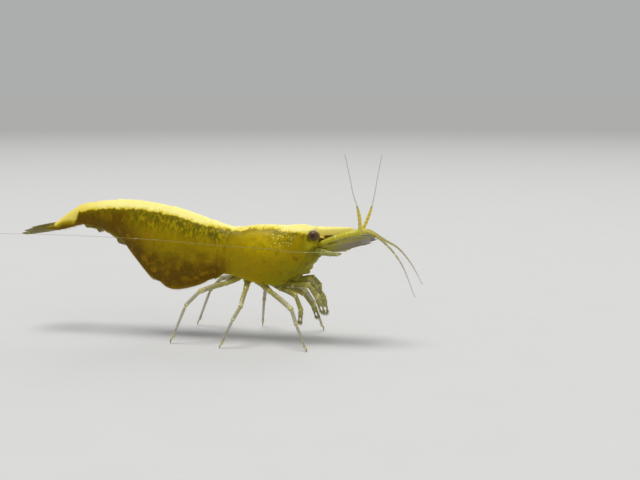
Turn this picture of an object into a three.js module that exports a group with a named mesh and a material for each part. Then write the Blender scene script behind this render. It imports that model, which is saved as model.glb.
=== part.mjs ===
// Golden-backed dwarf freshwater shrimp (a grown female), life size, as a still display model.
// Millimetres, +Z up, +X towards the head, +Y to the animal's left.
// The numbers below are in the animal's own frame: x = 0 at the hind edge of the head shield
// on the back, y = 0 in the middle plane, z = 0 on the ground under the feet.  The last lines
// move the whole group so that its origin is the bottom centre of its box.

import * as THREE from 'three';
import { mergeVertices } from 'three/addons/utils/BufferGeometryUtils.js';

// ---------------------------------------------------------------- driving dimensions
const JOINT_GAP = 0.07;        // clear space between two neighbouring solids
const RING_SLIP = 0.06;        // how far a ring's front edge lies under the ring before it
const PLATE_CORNER = 0.3;      // how much the lower corners of the side plates are rounded
const WALL = 0.26;             // thickness of the side plates, as a share of the half width
const LIMB_THICK = 0.5;        // thickest way across a leg
const BLADE_THICK = 0.44;      // tail fan and feeler scales
const FOOT_RADIUS = 0.25;      // the flat under each walking foot
const EYE_RADIUS = 0.48;
const EYE_FLAT = 0.88;           // its height against its width
const EYE_AT = { x: 6.58, y: 1.37, z: 8.54 };
const BEAK = { root: 6.86, tip: 9.5, top: 9.06, thick: 0.5, teeth: 9, lowerTeeth: 3, bite: 0.07 };
const SIDES = [['left', 1], ['right', -1]];

// ---------------------------------------------------------------- finishes
const finish = (color, roughness) => ({ color, roughness, metalness: 0 });
const SHELL = finish(0x9a9018, 0.38);
const BEAK_HORN = finish(0xf2e27a, 0.4);
const FLESH = finish(0x8d8420, 0.5);
const LIMB = finish(0xb3ab6a, 0.4);
const FAN = finish(0x8f8c4a, 0.4);
const FEELER = finish(0xcfc878, 0.4);
const EYE = finish(0x33240f, 0.15);

const shrimp = new THREE.Group();

function addPart(name, geometry, look) {
  geometry.deleteAttribute('normal');
  geometry.deleteAttribute('uv');
  const closed = mergeVertices(geometry, 1e-5);
  closed.computeVertexNormals();
  const mesh = new THREE.Mesh(closed, new THREE.MeshStandardMaterial(look));
  mesh.name = name;
  shrimp.add(mesh);
}

// ---------------------------------------------------------------- helpers
const at = (x, y, z) => new THREE.Vector3(x, y, z);
const UP = at(0, 0, 1);
const LEFT = at(0, 1, 0);
const FORWARD = at(1, 0, 0);
const mix = (a, b, t) => a + (b - a) * t;

// A smooth height as a function of x, through a few stations in rising x.
function profile(stations) {
  const slope = stations.map(([x, h], i) => {
    const [x0, h0] = stations[Math.max(i - 1, 0)];
    const [x1, h1] = stations[Math.min(i + 1, stations.length - 1)];
    return (h1 - h0) / (x1 - x0);
  });
  return (x) => {
    let i = stations.findIndex(([end]) => end > x) - 1;
    if (i < 0) i = x < stations[0][0] ? 0 : stations.length - 2;
    const [xa, ha] = stations[i];
    const [xb, hb] = stations[i + 1];
    const span = xb - xa;
    const t = THREE.MathUtils.clamp((x - xa) / span, 0, 1);
    const a = 2 * t ** 3 - 3 * t ** 2 + 1;
    const b = t ** 3 - 2 * t ** 2 + t;
    const c = -2 * t ** 3 + 3 * t ** 2;
    const d = t ** 3 - t ** 2;
    return a * ha + b * span * slope[i] + c * hb + d * span * slope[i + 1];
  };
}

// A closed body swept through stations.  A station has its centre `at` and half sizes
// `wide` (along `across`) and `high`; `facing` sets the end plane, as under a foot.
function sweep(stations, across, sides = 8) {
  const rings = stations.length - 1;
  const geometry = new THREE.CylinderGeometry(1, 1, 1, sides, rings);
  const frames = stations.map((station, i) => {
    const before = stations[Math.max(i - 1, 0)].at;
    const after = stations[Math.min(i + 1, rings)].at;
    const ahead = station.facing ?? after.clone().sub(before).normalize();
    const side = across.clone().addScaledVector(ahead, -across.dot(ahead)).normalize();
    return { station, side, up: side.clone().cross(ahead) };
  });
  const place = geometry.attributes.position;
  for (let i = 0; i < place.count; i += 1) {
    const ring = Math.round((place.getY(i) + 0.5) * rings);
    const { station, side, up } = frames[ring];
    const point = station.at.clone()
      .addScaledVector(side, place.getX(i) * station.wide)
      .addScaledVector(up, place.getZ(i) * (station.high ?? station.wide));
    place.setXYZ(i, point.x, point.y, point.z);
  }
  return geometry;
}

// A feeler: a tapering thread along a smooth curve through a few points.
function thread(points, steps, rootWide, tipWide, across = LEFT, sides = 6) {
  const line = new THREE.CatmullRomCurve3(points, false, 'centripetal');
  const stations = [];
  for (let i = 0; i <= steps; i += 1) {
    const wide = mix(rootWide, tipWide, i / steps);
    stations.push({ at: line.getPointAt(i / steps), wide });
  }
  return sweep(stations, across, sides);
}

// A leaf-shaped plate from root to tip: `leaf(t)` gives its half width, `thick` its thickness.
function plate(root, tip, sag, leaf, thick, across, steps = 7) {
  const middle = root.clone().lerp(tip, 0.5).add(sag);
  const line = new THREE.QuadraticBezierCurve3(root, middle, tip);
  const stations = [];
  for (let i = 0; i <= steps; i += 1) {
    const t = i / steps;
    const high = thick * 0.5 * (1 - 0.45 * t ** 3);
    stations.push({ at: line.getPoint(t), wide: leaf(t), high });
  }
  return sweep(stations, across, 8);
}

// ---------------------------------------------------------------- trunk
// Three lines along the body: the back, the lower edge of the side plates, and the half width.
const back = profile([
  [-15.7, 8.87], [-14.6, 9.7], [-13.4, 10.4], [-11.6, 10.74], [-10.1, 10.88], [-8.2, 10.84],
  [-5.2, 10.36], [-3.0, 9.72], [-1.2, 9.14], [0, 8.93], [1.8, 9.15], [4.0, 9.17],
  [5.3, 9.23], [6.2, 9.07], [7.4, 9.02],
]);
const edge = profile([
  [-15.7, 8.27], [-14.7, 8.42], [-13.4, 8.8], [-12.4, 8.82], [-11.6, 8.7], [-10.6, 8.32],
  [-9.7, 7.85], [-8.3, 6.35],
  [-7.0, 4.9], [-5.8, 4.1], [-4.7, 3.92], [-3.2, 4.22], [-1.6, 4.75], [-0.7, 5.3],
  [0.3, 5.15], [1.5, 4.85], [2.8, 4.62], [4.0, 4.66], [5.2, 5.3], [6.3, 6.4], [7.2, 7.0],
]);
const girth = profile([
  [-15.7, 0.62], [-14.0, 0.84], [-12.0, 1.08], [-10.0, 1.32], [-7.5, 1.62], [-4.5, 1.82],
  [-1.5, 1.68], [0, 1.72], [2.0, 1.92], [4.0, 1.78], [5.5, 1.4], [6.5, 1.06], [7.2, 0.9],
]);

// How wide the section is at a fraction v of the way down from the back to the plate's edge.
const WIDEST = 0.56;           // the height at which it is widest
const TUCK = 0.16;             // how far the lower edge turns in again
const ROUNDNESS = 0.94;        // under 1 fills the shoulders out beyond a plain ellipse
function sideways(v) {
  if (v < WIDEST) return Math.sqrt(1 - (1 - v / WIDEST) ** 2) ** ROUNDNESS;
  return 1 - TUCK * ((v - WIDEST) / (1 - WIDEST)) ** 2;
}

// The section of one ring of armour: round back, hanging side plates, and the belly between
// them, which lies at the fraction `belly` of the way down (1 is a closed, rounded underside).
function armourSection(belly) {
  const down = [];
  for (let i = 1; i <= 5; i += 1) down.push(WIDEST * (1 - Math.cos((i / 5) * Math.PI / 2)));
  for (let i = 1; i <= 3; i += 1) down.push(mix(WIDEST, 1, i / 3));
  const flank = down.map((v) => [sideways(v), -v]);
  const rim = sideways(1);
  const inside = rim - WALL;
  const under = belly < 1
    ? [[inside, -1], [inside, -belly - 0.1], [inside * 0.62, -belly]]
    : [[rim * 0.62, -1.06]];
  const half = [...flank, ...under];
  const outline = [[0, 0], ...half, ...half.map(([y, z]) => [-y, z]).reverse()];
  return new THREE.Shape(outline.map(([y, z]) => new THREE.Vector2(y, z)));
}

// One ring of armour between two joints.  A joint gives x for each fraction v down the side.
// The rear rim stands proud by `slip`, so the front of the next ring seems to pass under it,
// and the lower corners of its side plates are rounded off by `corner`.
function armour(frontJoint, rearJoint, belly, steps, slip, corner) {
  const geometry = new THREE.ExtrudeGeometry(armourSection(belly),
    { depth: 1, steps, bevelEnabled: false });
  const place = geometry.attributes.position;
  for (let i = 0; i < place.count; i += 1) {
    const t = place.getZ(i);
    const v = -place.getY(i);
    const x = mix(rearJoint(v) + JOINT_GAP / 2, frontJoint(v) - JOINT_GAP / 2, t);
    const low = Math.max(0, (v - 0.8) / 0.2);
    const sunk = slip * t ** 2;
    const top = back(x) - sunk;
    const bottom = edge(x) + corner * low * Math.abs(2 * t - 1) ** 5;
    place.setXYZ(i, x, place.getX(i) * (girth(x) - sunk), mix(top, bottom, v));
  }
  return geometry;
}

// A joint line: x on the back, x at the lower edge, and how far its middle bows backwards.
const joint = (onBack, below, bow) => (v) => (
  mix(onBack, below, v) - bow * Math.sin(Math.PI * Math.min(v, 1)));

const joints = [
  joint(0, -0.62, 0.2),            // head shield to tail
  joint(-2.0, -1.75, -0.35),       // the second plate laps forwards over the first
  joint(-5.4, -6.5, 0.45),         // and backwards over the third
  joint(-10.15, -9.75, 0.2),
  joint(-11.9, -11.65, 0.15),
  joint(-13.45, -13.35, 0.1),
  joint(-15.7, -15.55, 0),
];
const tailRings = [
  { belly: 0.62, steps: 3 }, { belly: 0.62, steps: 4 }, { belly: 0.68, steps: 5 },
  { belly: 0.82, steps: 3 }, { belly: 0.84, steps: 3 }, { belly: 1, steps: 3 },
];
tailRings.forEach(({ belly, steps }, i) => {
  const ring = armour(joints[i], joints[i + 1], belly, steps, RING_SLIP, PLATE_CORNER);
  addPart(`tail_ring_${i + 1}`, ring, SHELL);
});

// The head shield: its front edge runs from the beak's root round the eye's notch, out to the
// spine under the eye, and back along the cheek.
const shieldFront = profile([
  [0, 6.78], [0.07, 6.35], [0.14, 6.0], [0.28, 5.92], [0.4, 6.15], [0.5, 6.6],
  [0.6, 6.25], [0.75, 5.6], [0.88, 4.95], [1, 4.2],
]);
addPart('head_shield', armour(shieldFront, joints[0], 0.88, 9, 0, 0), SHELL);

// A lump on the middle line, through stations [x, z, half width, half height].
const middleLump = (stations) => sweep(
  stations.map(([x, z, wide, high]) => ({ at: at(x, 0, z), wide, high })), LEFT);

// The underside of the chest, which the legs grow from.
addPart('chest_underside', middleLump([
  [0.1, 5.2, 0.6, 0.2], [1.4, 5.02, 0.85, 0.2], [2.8, 4.87, 0.9, 0.2],
  [4.2, 4.92, 0.85, 0.2], [5.1, 5.25, 0.55, 0.2],
]), FLESH);

// The face under the eyes and the jaws below it, which fill the front of the shield.
addPart('mouthparts', middleLump([
  [5.3, 5.6, 0.5, 0.22], [5.62, 6.0, 0.74, 0.28], [6.1, 6.52, 0.76, 0.32],
  [6.58, 6.96, 0.62, 0.28], [6.92, 7.26, 0.42, 0.2],
]), FLESH);

// ---------------------------------------------------------------- beak
// A blade over the eyes with a saw of small teeth on top and a few below its tip.
function beakGeometry() {
  const length = BEAK.tip - BEAK.root;
  const keel = profile([[6.5, 8.6], [7.4, 8.5], [8.1, 8.53], [8.8, 8.75], [9.6, 9.0]]);
  const outline = [];
  const pitch = (length * 0.94) / BEAK.teeth;
  for (let i = 0; i < BEAK.teeth; i += 1) {
    const x = BEAK.root + pitch * i;
    outline.push([x, BEAK.top], [x + pitch * 0.85, BEAK.top + BEAK.bite]);
  }
  outline.push([BEAK.tip, BEAK.top - 0.02]);
  for (let i = 0; i < BEAK.lowerTeeth; i += 1) {
    const x = BEAK.tip - pitch * (1.2 + 1.1 * i);
    outline.push([x + pitch * 0.3, keel(x) - BEAK.bite * 0.6], [x, keel(x)]);
  }
  for (const x of [8.1, 7.7, 7.3, BEAK.root]) outline.push([x, keel(x)]);
  const shape = new THREE.Shape(outline.map(([x, z]) => new THREE.Vector2(x, z)));
  const geometry = new THREE.ExtrudeGeometry(shape,
    { depth: BEAK.thick, steps: 1, bevelEnabled: false });
  const place = geometry.attributes.position;
  for (let i = 0; i < place.count; i += 1) {
    const x = place.getX(i);
    const taper = 1 - 0.72 * ((x - BEAK.root) / length) ** 1.3;
    place.setXYZ(i, x, -(place.getZ(i) - BEAK.thick / 2) * taper, place.getY(i));
  }
  return geometry;
}
addPart('beak', beakGeometry(), BEAK_HORN);

// ---------------------------------------------------------------- legs
// Each leg has four places: hip, knee, wrist and tip, with y measured out from the middle.
// The two sides stand differently, so that each foot has its own spot on the ground.
const legs = [
  { name: 'leg_3',
    right: [[2.15, 0.8, 4.5], [5.33, 3.4, 3.05], [5.8, 3.8, 1.99], [6.75, 4.3, 0]],
    left: [[2.15, 0.8, 4.5], [4.7, 3.3, 3.5], [5.3, 3.8, 2.3], [6.0, 4.2, 0]] },
  { name: 'leg_4',
    right: [[1.05, 0.8, 4.62], [1.3, 3.6, 3.12], [0.84, 4.15, 2.18], [-0.1, 4.6, 0]],
    left: [[1.05, 0.8, 4.62], [1.2, 3.5, 3.4], [0.9, 4.1, 2.3], [0.6, 4.6, 0]] },
  { name: 'leg_5',
    right: [[0.1, 0.75, 4.75], [-2.2, 3.05, 4.1], [-3.2, 3.5, 3.05], [-4.4, 3.85, 0]],
    left: [[0.1, 0.75, 4.75], [-2.5, 3.0, 4.2], [-3.6, 3.45, 3.1], [-4.9, 3.8, 0]] },
  // Two pairs of small pincer legs and the long mouth legs hang clear of the ground.
  { name: 'leg_2',
    right: [[3.15, 0.72, 4.45], [5.15, 1.55, 3.85], [5.62, 1.65, 2.7], [5.52, 1.68, 1.55]],
    left: [[3.15, 0.72, 4.45], [5.0, 1.5, 3.5], [5.75, 1.7, 2.5], [6.15, 1.75, 1.4]] },
  { name: 'leg_1',
    right: [[4.1, 0.62, 4.5], [6.15, 1.22, 4.62], [6.86, 1.34, 3.74], [7.34, 1.34, 2.38]],
    left: [[4.1, 0.62, 4.5], [6.1, 1.3, 4.25], [6.65, 1.4, 3.25], [6.9, 1.4, 1.8]] },
  { name: 'mouth_leg',
    right: [[4.95, 0.4, 4.75], [6.05, 0.6, 4.98], [6.6, 0.62, 4.4], [6.7, 0.56, 3.5]],
    left: [[4.95, 0.4, 4.75], [6.05, 0.6, 4.98], [6.6, 0.62, 4.4], [6.7, 0.56, 3.5]] },
];

// Stations along a leg: [joint before, part of the way to the next one, share of full girth].
const WALKING = [[0, 0, 1.4], [0, 0.14, 1.25], [0, 0.26, 0.92], [0, 0.6, 1.05], [0, 0.92, 1],
  [1, 0.1, 1], [1, 0.9, 1], [2, 0.08, 0.95], [2, 0.86, 0.92]];
const HANGING = [[0, 0, 1.2], [0, 0.3, 0.95], [0, 0.92, 1], [1, 0.1, 1], [1, 0.9, 1],
  [2, 0.1, 1], [2, 0.55, 1.1], [2, 1, 0.62]];

function legGeometry(places, side) {
  const spots = places.map(([x, y, z]) => at(x, y * side, z));
  const [hip, , , tip] = spots;
  const stands = tip.z === 0;
  const stations = (stands ? WALKING : HANGING).map(([from, share, girthShare]) => (
    { at: spots[from].clone().lerp(spots[from + 1], share), wide: (LIMB_THICK / 2) * girthShare }));
  if (stands) stations.push({ at: tip, wide: FOOT_RADIUS, facing: UP.clone().negate() });
  const across = stands ? tip.clone().sub(hip).cross(UP).normalize() : LEFT;
  return sweep(stations, across, 8);
}
for (const leg of legs) {
  for (const [word, side] of SIDES) {
    addPart(`${leg.name}_${word}`, legGeometry(leg[word], side), LIMB);
  }
}

// ---------------------------------------------------------------- swimmerets
// Five pairs of paddles between the side plates, the last two folded forwards.
const swimmerets = [
  { root: [-1.3, 6.15], tip: [-2.2, 4.75], out: 0.42, reach: 0.42 },
  { root: [-3.7, 6.1], tip: [-4.6, 3.95], out: 0.45, reach: 0.5 },
  { root: [-7.0, 6.35], tip: [-7.1, 4.5], out: 0.42, reach: 0.46 },
  { root: [-10.9, 8.35], tip: [-9.3, 7.2], out: 0.34, reach: 0.32 },
  { root: [-12.6, 8.66], tip: [-11.2, 8.34], out: 0.3, reach: 0.24 },
];
const paddle = (reach) => (t) => (
  reach * (0.55 + 0.45 * Math.sin(Math.PI * Math.min(1, 0.15 + t)) - 0.35 * t ** 4));
swimmerets.forEach(({ root, tip, out, reach }, i) => {
  for (const [word, side] of SIDES) {
    const from = at(root[0], out * side, root[1]);
    const to = at(tip[0], out * side, tip[1]);
    const across = at(1, 0, 0.3).normalize();
    addPart(`swimmeret_${i + 1}_${word}`,
      plate(from, to, at(0, 0, 0.05), paddle(reach), LIMB_THICK, across, 5), LIMB);
  }
});

// ---------------------------------------------------------------- tail fan
// The middle piece lies over two pairs of blades that fan out under and beside it.
const leaf = (root, widest) => (t) => {
  const swell = mix(root, widest, Math.sin(Math.PI * 0.5 * Math.min(1, t / 0.65)));
  return swell * (1 - 0.75 * Math.max(0, (t - 0.7) / 0.3) ** 2.4);
};
const spike = (t) => mix(0.52, 0.24, t) * (1 - 0.3 * t ** 8);
addPart('tail_spine', plate(
  at(-15.68, 0, 8.74), at(-18.05, 0, 8.36), at(0, 0, 0.05), spike, BLADE_THICK, LEFT), SHELL);
for (const [word, side] of SIDES) {
  addPart(`fan_inner_${word}`, plate(
    at(-15.72, 0.22 * side, 8.27), at(-18.38, 0.62 * side, 8.12), at(0, 0, 0),
    leaf(0.17, 0.36), BLADE_THICK, at(0.1 * side, 1, 0).normalize()), FAN);
  addPart(`fan_outer_${word}`, plate(
    at(-15.72, 0.64 * side, 8.28), at(-18.1, 1.72 * side, 8.06), at(0, 0, -0.04),
    leaf(0.17, 0.42), BLADE_THICK, at(0.35 * side, 1, -0.2 * side).normalize()), FAN);
}

// ---------------------------------------------------------------- eyes
// The left one is swung a little forwards and down on its stalk.
const eyeSpots = {
  right: { centre: at(EYE_AT.x, -EYE_AT.y, EYE_AT.z), looks: at(0.05, -1, 0.1) },
  left: { centre: at(EYE_AT.x + 0.52, EYE_AT.y - 0.17, EYE_AT.z - 0.3), looks: at(1, 0.35, -0.25) },
};
for (const [word, side] of SIDES) {
  const { centre } = eyeSpots[word];
  const looks = eyeSpots[word].looks.normalize();
  const globe = new THREE.SphereGeometry(EYE_RADIUS, 16, 10);
  globe.applyQuaternion(new THREE.Quaternion().setFromUnitVectors(LEFT, looks));
  globe.scale(1, 1, EYE_FLAT);
  globe.translate(centre.x, centre.y, centre.z);
  addPart(`eye_${word}`, globe, EYE);

  const neck = centre.clone().addScaledVector(looks, -EYE_RADIUS - JOINT_GAP);
  const root = at(6.64, 0.47 * side, 8.44);
  addPart(`eyestalk_${word}`, sweep([
    { at: root, wide: 0.19 }, { at: root.clone().lerp(neck, 0.5), wide: 0.21 },
    { at: neck, wide: 0.25, facing: looks },
  ], FORWARD), FLESH);
}

// ---------------------------------------------------------------- feelers
// First feelers: a stout stem of three joints, with one whip up and one whip forwards.
// Second feelers: a short stem with a broad scale, and one long whip swept back past the body.
const firstStem = [[6.95, 7.76, 0.3], [7.5, 7.96, 0.34], [8.1, 8.19, 0.31], [8.2, 8.22, 0.28],
  [9.0, 8.5, 0.3], [9.1, 8.53, 0.26], [9.75, 8.71, 0.27], [10.12, 8.78, 0.22]];
const secondStem = [[6.72, 0.86, 7.3, 0.24], [7.2, 1.05, 7.24, 0.26], [7.9, 1.34, 7.16, 0.19],
  [8.45, 1.48, 7.16, 0.16]];
const whips = {
  left: {
    up: [[10.12, 0.5, 9.06], [10.3, 0.6, 9.5], [10.6, 0.68, 10.33], [10.87, 0.8, 11.44],
      [11.12, 0.9, 12.99], [11.42, 1.05, 14.7]],
    forward: [[10.46, 0.42, 8.8], [11.05, 0.4, 8.6], [11.7, 0.45, 8.2], [12.88, 0.5, 7.52],
      [13.88, 0.6, 6.32], [14.75, 0.7, 4.74]],
    tip: [[-1.48, 2.6, 7.75], [-5.0, 2.5, 8.3], [-8.5, 2.35, 9.1], [-11.5, 2.1, 9.35],
      [-14.2, 1.8, 8.9]],
  },
  right: {
    up: [[10.05, 0.5, 9.06], [10.02, 0.58, 9.78], [9.9, 0.66, 10.58], [9.54, 0.8, 11.85],
      [9.34, 0.9, 12.93], [8.95, 1.05, 14.8]],
    forward: [[10.46, 0.42, 8.8], [11.17, 0.4, 8.6], [11.81, 0.45, 8.17], [12.67, 0.5, 7.33],
      [13.46, 0.55, 6.17], [14.4, 0.65, 3.92]],
    tip: [[-1.48, 2.6, 7.75], [-6.46, 2.5, 8.0], [-10.7, 2.4, 8.08], [-15.1, 2.3, 8.12],
      [-19.5, 2.3, 8.07], [-24.0, 2.4, 7.95]],
  },
};
const whipRoot = [[8.72, 1.6, 7.22], [8.8, 1.98, 7.3], [8.4, 2.4, 7.38], [7.4, 2.62, 7.4],
  [5.2, 2.68, 7.4], [2.9, 2.66, 7.58], [-1.4, 2.6, 7.74]];

for (const [word, side] of SIDES) {
  const onSide = (points) => points.map(([x, y, z]) => at(x, y * side, z));
  const { up, forward, tip } = whips[word];
  addPart(`first_feeler_stem_${word}`, sweep(firstStem.map(([x, z, wide]) => (
    { at: at(x, 0.42 * side, z), wide })), LEFT), LIMB);
  addPart(`first_feeler_up_${word}`, thread(onSide(up), 14, 0.25, 0.2), FEELER);
  addPart(`first_feeler_forward_${word}`, thread(onSide(forward), 14, 0.22, 0.2), FEELER);

  addPart(`second_feeler_stem_${word}`, sweep(secondStem.map(([x, y, z, wide]) => (
    { at: at(x, y * side, z), wide })), LEFT), LIMB);
  addPart(`feeler_scale_${word}`, plate(
    at(7.85, 0.98 * side, 7.66), at(11.22, 0.9 * side, 8.46), at(0, 0, -0.06),
    leaf(0.26, 0.5), BLADE_THICK, at(0, 0.5, -0.87 * side).normalize()), FAN);
  addPart(`second_feeler_root_${word}`, thread(onSide(whipRoot), 16, 0.25, 0.24, UP), FEELER);
  addPart(`second_feeler_tip_${word}`, thread(onSide(tip), 14, 0.24, 0.2, UP), FEELER);
}

// ---------------------------------------------------------------- origin at the bottom centre
const box = new THREE.Box3().setFromObject(shrimp);
shrimp.position.set(-(box.min.x + box.max.x) / 2, -(box.min.y + box.max.y) / 2, -box.min.z);
shrimp.updateMatrixWorld(true);

export default shrimp;
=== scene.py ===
# %% [markdown]
# # A golden-backed dwarf shrimp, life size
# This lesson dresses the solid model of a small freshwater shrimp, 28 mm from beak to tail.
# The solids say where every part is. Here each of them gets a finer piece that stands for it:
# thin overlapping shell plates, one soft skin under them, jointed legs with spines and hairs,
# facetted eyes and hair-thin feelers. It is a still model, so every piece rides on one body.

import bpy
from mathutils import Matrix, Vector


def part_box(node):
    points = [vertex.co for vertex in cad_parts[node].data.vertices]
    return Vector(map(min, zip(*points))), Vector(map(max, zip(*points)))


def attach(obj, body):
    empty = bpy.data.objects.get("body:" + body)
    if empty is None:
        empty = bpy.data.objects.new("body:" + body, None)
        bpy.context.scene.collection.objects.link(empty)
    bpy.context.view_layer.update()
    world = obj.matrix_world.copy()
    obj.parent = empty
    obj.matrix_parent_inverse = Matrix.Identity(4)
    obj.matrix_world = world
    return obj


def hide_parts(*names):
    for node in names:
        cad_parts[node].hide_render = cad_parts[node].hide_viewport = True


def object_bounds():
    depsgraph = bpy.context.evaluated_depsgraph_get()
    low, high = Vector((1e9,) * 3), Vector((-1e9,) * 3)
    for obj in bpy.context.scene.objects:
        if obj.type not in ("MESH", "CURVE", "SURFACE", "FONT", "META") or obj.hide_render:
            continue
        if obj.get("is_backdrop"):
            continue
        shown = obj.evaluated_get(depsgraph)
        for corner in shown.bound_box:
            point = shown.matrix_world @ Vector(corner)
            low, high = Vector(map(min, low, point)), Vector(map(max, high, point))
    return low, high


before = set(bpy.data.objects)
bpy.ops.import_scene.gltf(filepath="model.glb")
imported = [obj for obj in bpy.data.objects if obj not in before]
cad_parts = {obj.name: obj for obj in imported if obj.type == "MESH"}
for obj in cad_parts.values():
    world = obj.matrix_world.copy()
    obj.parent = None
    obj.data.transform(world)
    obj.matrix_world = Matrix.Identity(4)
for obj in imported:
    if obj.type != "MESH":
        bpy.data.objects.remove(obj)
solid_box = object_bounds()
print("solid parts:", len(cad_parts))

# %% [markdown]
# ## The animal's own frame
# Shapes on a body are easiest to give from a landmark of the body. Ours is the hind edge of the
# head shield on the back: x runs forwards from it, y to the animal's left from the middle plane,
# and z up from the ground, all in millimetres. The right eye ties this frame to the solids, as
# its centre is known in both. Everything is built in millimetres and shrunk once, at the end,
# because Blender's remesher has a smallest cell that is too coarse for a shrimp in metres.

# %% Own frame
import math

import bmesh
import bpy
import numpy as np
from mathutils import Matrix, Vector

MM = 0.001
RIGHT_EYE = np.array([6.58, -1.37, 8.54])
eye_low, eye_high = (np.array(corner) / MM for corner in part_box("eye_right"))
EYE_RADIUS = float(eye_high[0] - eye_low[0]) / 2
ORIGIN = (eye_low + eye_high) / 2 - RIGHT_EYE
LEFT_EYE = np.mean([np.array(corner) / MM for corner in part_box("eye_left")], axis=0) - ORIGIN
EYES = {"right": (RIGHT_EYE, np.array([0.05, -1.0, 0.1])),      # centre, and where it looks
        "left": (LEFT_EYE, np.array([1.0, 0.35, -0.25]))}
TO_METRES = Matrix.Translation(Vector(ORIGIN * MM)) @ Matrix.Scale(MM, 4)
SIDES = (("left", 1), ("right", -1))
chance = np.random.default_rng(7)    # every random draw comes from here
print("own frame starts at", ORIGIN.round(3), "mm; eye radius", round(EYE_RADIUS, 3))


def in_metres(point):
    """A point of the animal's own frame as Blender has it."""
    return TO_METRES @ Vector(point)


# %% [markdown]
# ## Camera
# A macro lens looks at the right side from a little in front and a little above. The shrimp is
# small in the frame, and lies left of the middle, so the camera aims at a point in the head.
# Shifting the lens would frame it too, but every other view would then be shifted as well.

# %% Camera
AIM = (6.73, 0.0, 8.05)              # in the animal's own frame
LOOK_FROM = (0.2401, -0.9631, 0.1219)
DISTANCE = 94.11                     # millimetres from the aim
LENS = 67.5                          # millimetres, on a sensor of 36
SENSOR = 36.0
NEAREST, FARTHEST = 0.001, 20.0      # how near and far the camera sees, in metres
camera_data = bpy.data.cameras.new("macro_camera")
camera_data.lens = LENS
camera_data.sensor_width = SENSOR
camera_data.clip_start = NEAREST
camera_data.clip_end = FARTHEST
camera = bpy.data.objects.new("macro_camera", camera_data)
camera.location = in_metres(np.array(AIM) + np.array(LOOK_FROM) * DISTANCE)
camera.rotation_euler = Vector(LOOK_FROM).to_track_quat("Z", "Y").to_euler()
bpy.context.scene.collection.objects.link(camera)
bpy.context.scene.camera = camera
print("camera at", tuple(round(c, 4) for c in camera.location))

# %% [markdown]
# ## Lines and paths
# A shrimp's outline is smooth, so a few stations are enough for it. One function draws a smooth
# curve through stations, and another walks along a smooth path through points in space in
# even steps, which feelers and legs need. Blender's own curves could draw them, but a function
# can be asked for its height anywhere, so plates, skin and paint can all follow the same line.


# %% Smooth lines
def smooth_line(stations):
    """A smooth curve through (place, value) stations in rising place, as a function."""
    place, value = np.array(stations, float).T
    last = len(place) - 1
    before = np.maximum(np.arange(last + 1) - 1, 0)
    after = np.minimum(np.arange(last + 1) + 1, last)
    slope = (value[after] - value[before]) / (place[after] - place[before])

    def curve(x):
        x = np.clip(x, place[0], place[last])
        i = np.clip(np.searchsorted(place, x, side="right") - 1, 0, last - 1)
        span = place[i + 1] - place[i]
        t = (x - place[i]) / span
        ends = (2 * t**3 - 3 * t**2 + 1) * value[i] + (3 * t**2 - 2 * t**3) * value[i + 1]
        bends = (t**3 - 2 * t**2 + t) * slope[i] + (t**3 - t**2) * slope[i + 1]
        return ends + span * bends

    return curve


print("a smooth line from 0 to 1 passes", smooth_line([(0, 0), (1, 1)])(0.5), "halfway")


# %% Paths and ramps
TINY = 1e-12


def smooth_path(points, count):
    """`count` points in even steps along a smooth path through the given points."""
    points = np.array(points, float)
    reach = np.r_[0, np.cumsum(np.linalg.norm(np.diff(points, axis=0), axis=1))]
    fine = np.linspace(0, reach[-1], 10 * count)
    path = np.stack([smooth_line(list(zip(reach, c)))(fine) for c in points.T], axis=-1)
    walked = np.r_[0, np.cumsum(np.linalg.norm(np.diff(path, axis=0), axis=1))]
    even = np.linspace(0, walked[-1], count)
    return np.stack([np.interp(even, walked, c) for c in path.T], axis=-1)


def rise(x, low, high):
    """0 below low, 1 above high, and a smooth step between them."""
    t = np.clip((x - low) / (high - low), 0, 1)
    return t * t * (3 - 2 * t)


def bump_at(x, centre, width):
    """A smooth hump of height 1."""
    return np.exp(-(((x - centre) / width) ** 2))


def unit(vectors):
    """Vectors along the last axis, each made one long."""
    vectors = np.asarray(vectors, float)
    return vectors / np.maximum(np.linalg.norm(vectors, axis=-1, keepdims=True), TINY)


quarter = smooth_path([(1, 0, 0), (0.7, 0.7, 0), (0, 1, 0)], 20)
walk = np.linalg.norm(np.diff(quarter, axis=0), axis=1)
print("a trial path walks", round(float(walk.sum()), 2), "mm in steps of", round(float(walk[0]), 3))

# %% [markdown]
# ## Casting pieces
# Every piece is cast from a few kinds of closed body: a tube along a path, a thin plate over a
# grid of points, and fine hairs. Closed bodies keep the mesh sound, so that it could be printed.
# A casting gathers them, with a few numbers at each point that the paint uses later, such as
# how far along a leg the point lies. Geometry nodes could do the same, but numbers worked out
# in arrays are short, quick and easy to check.


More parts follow.
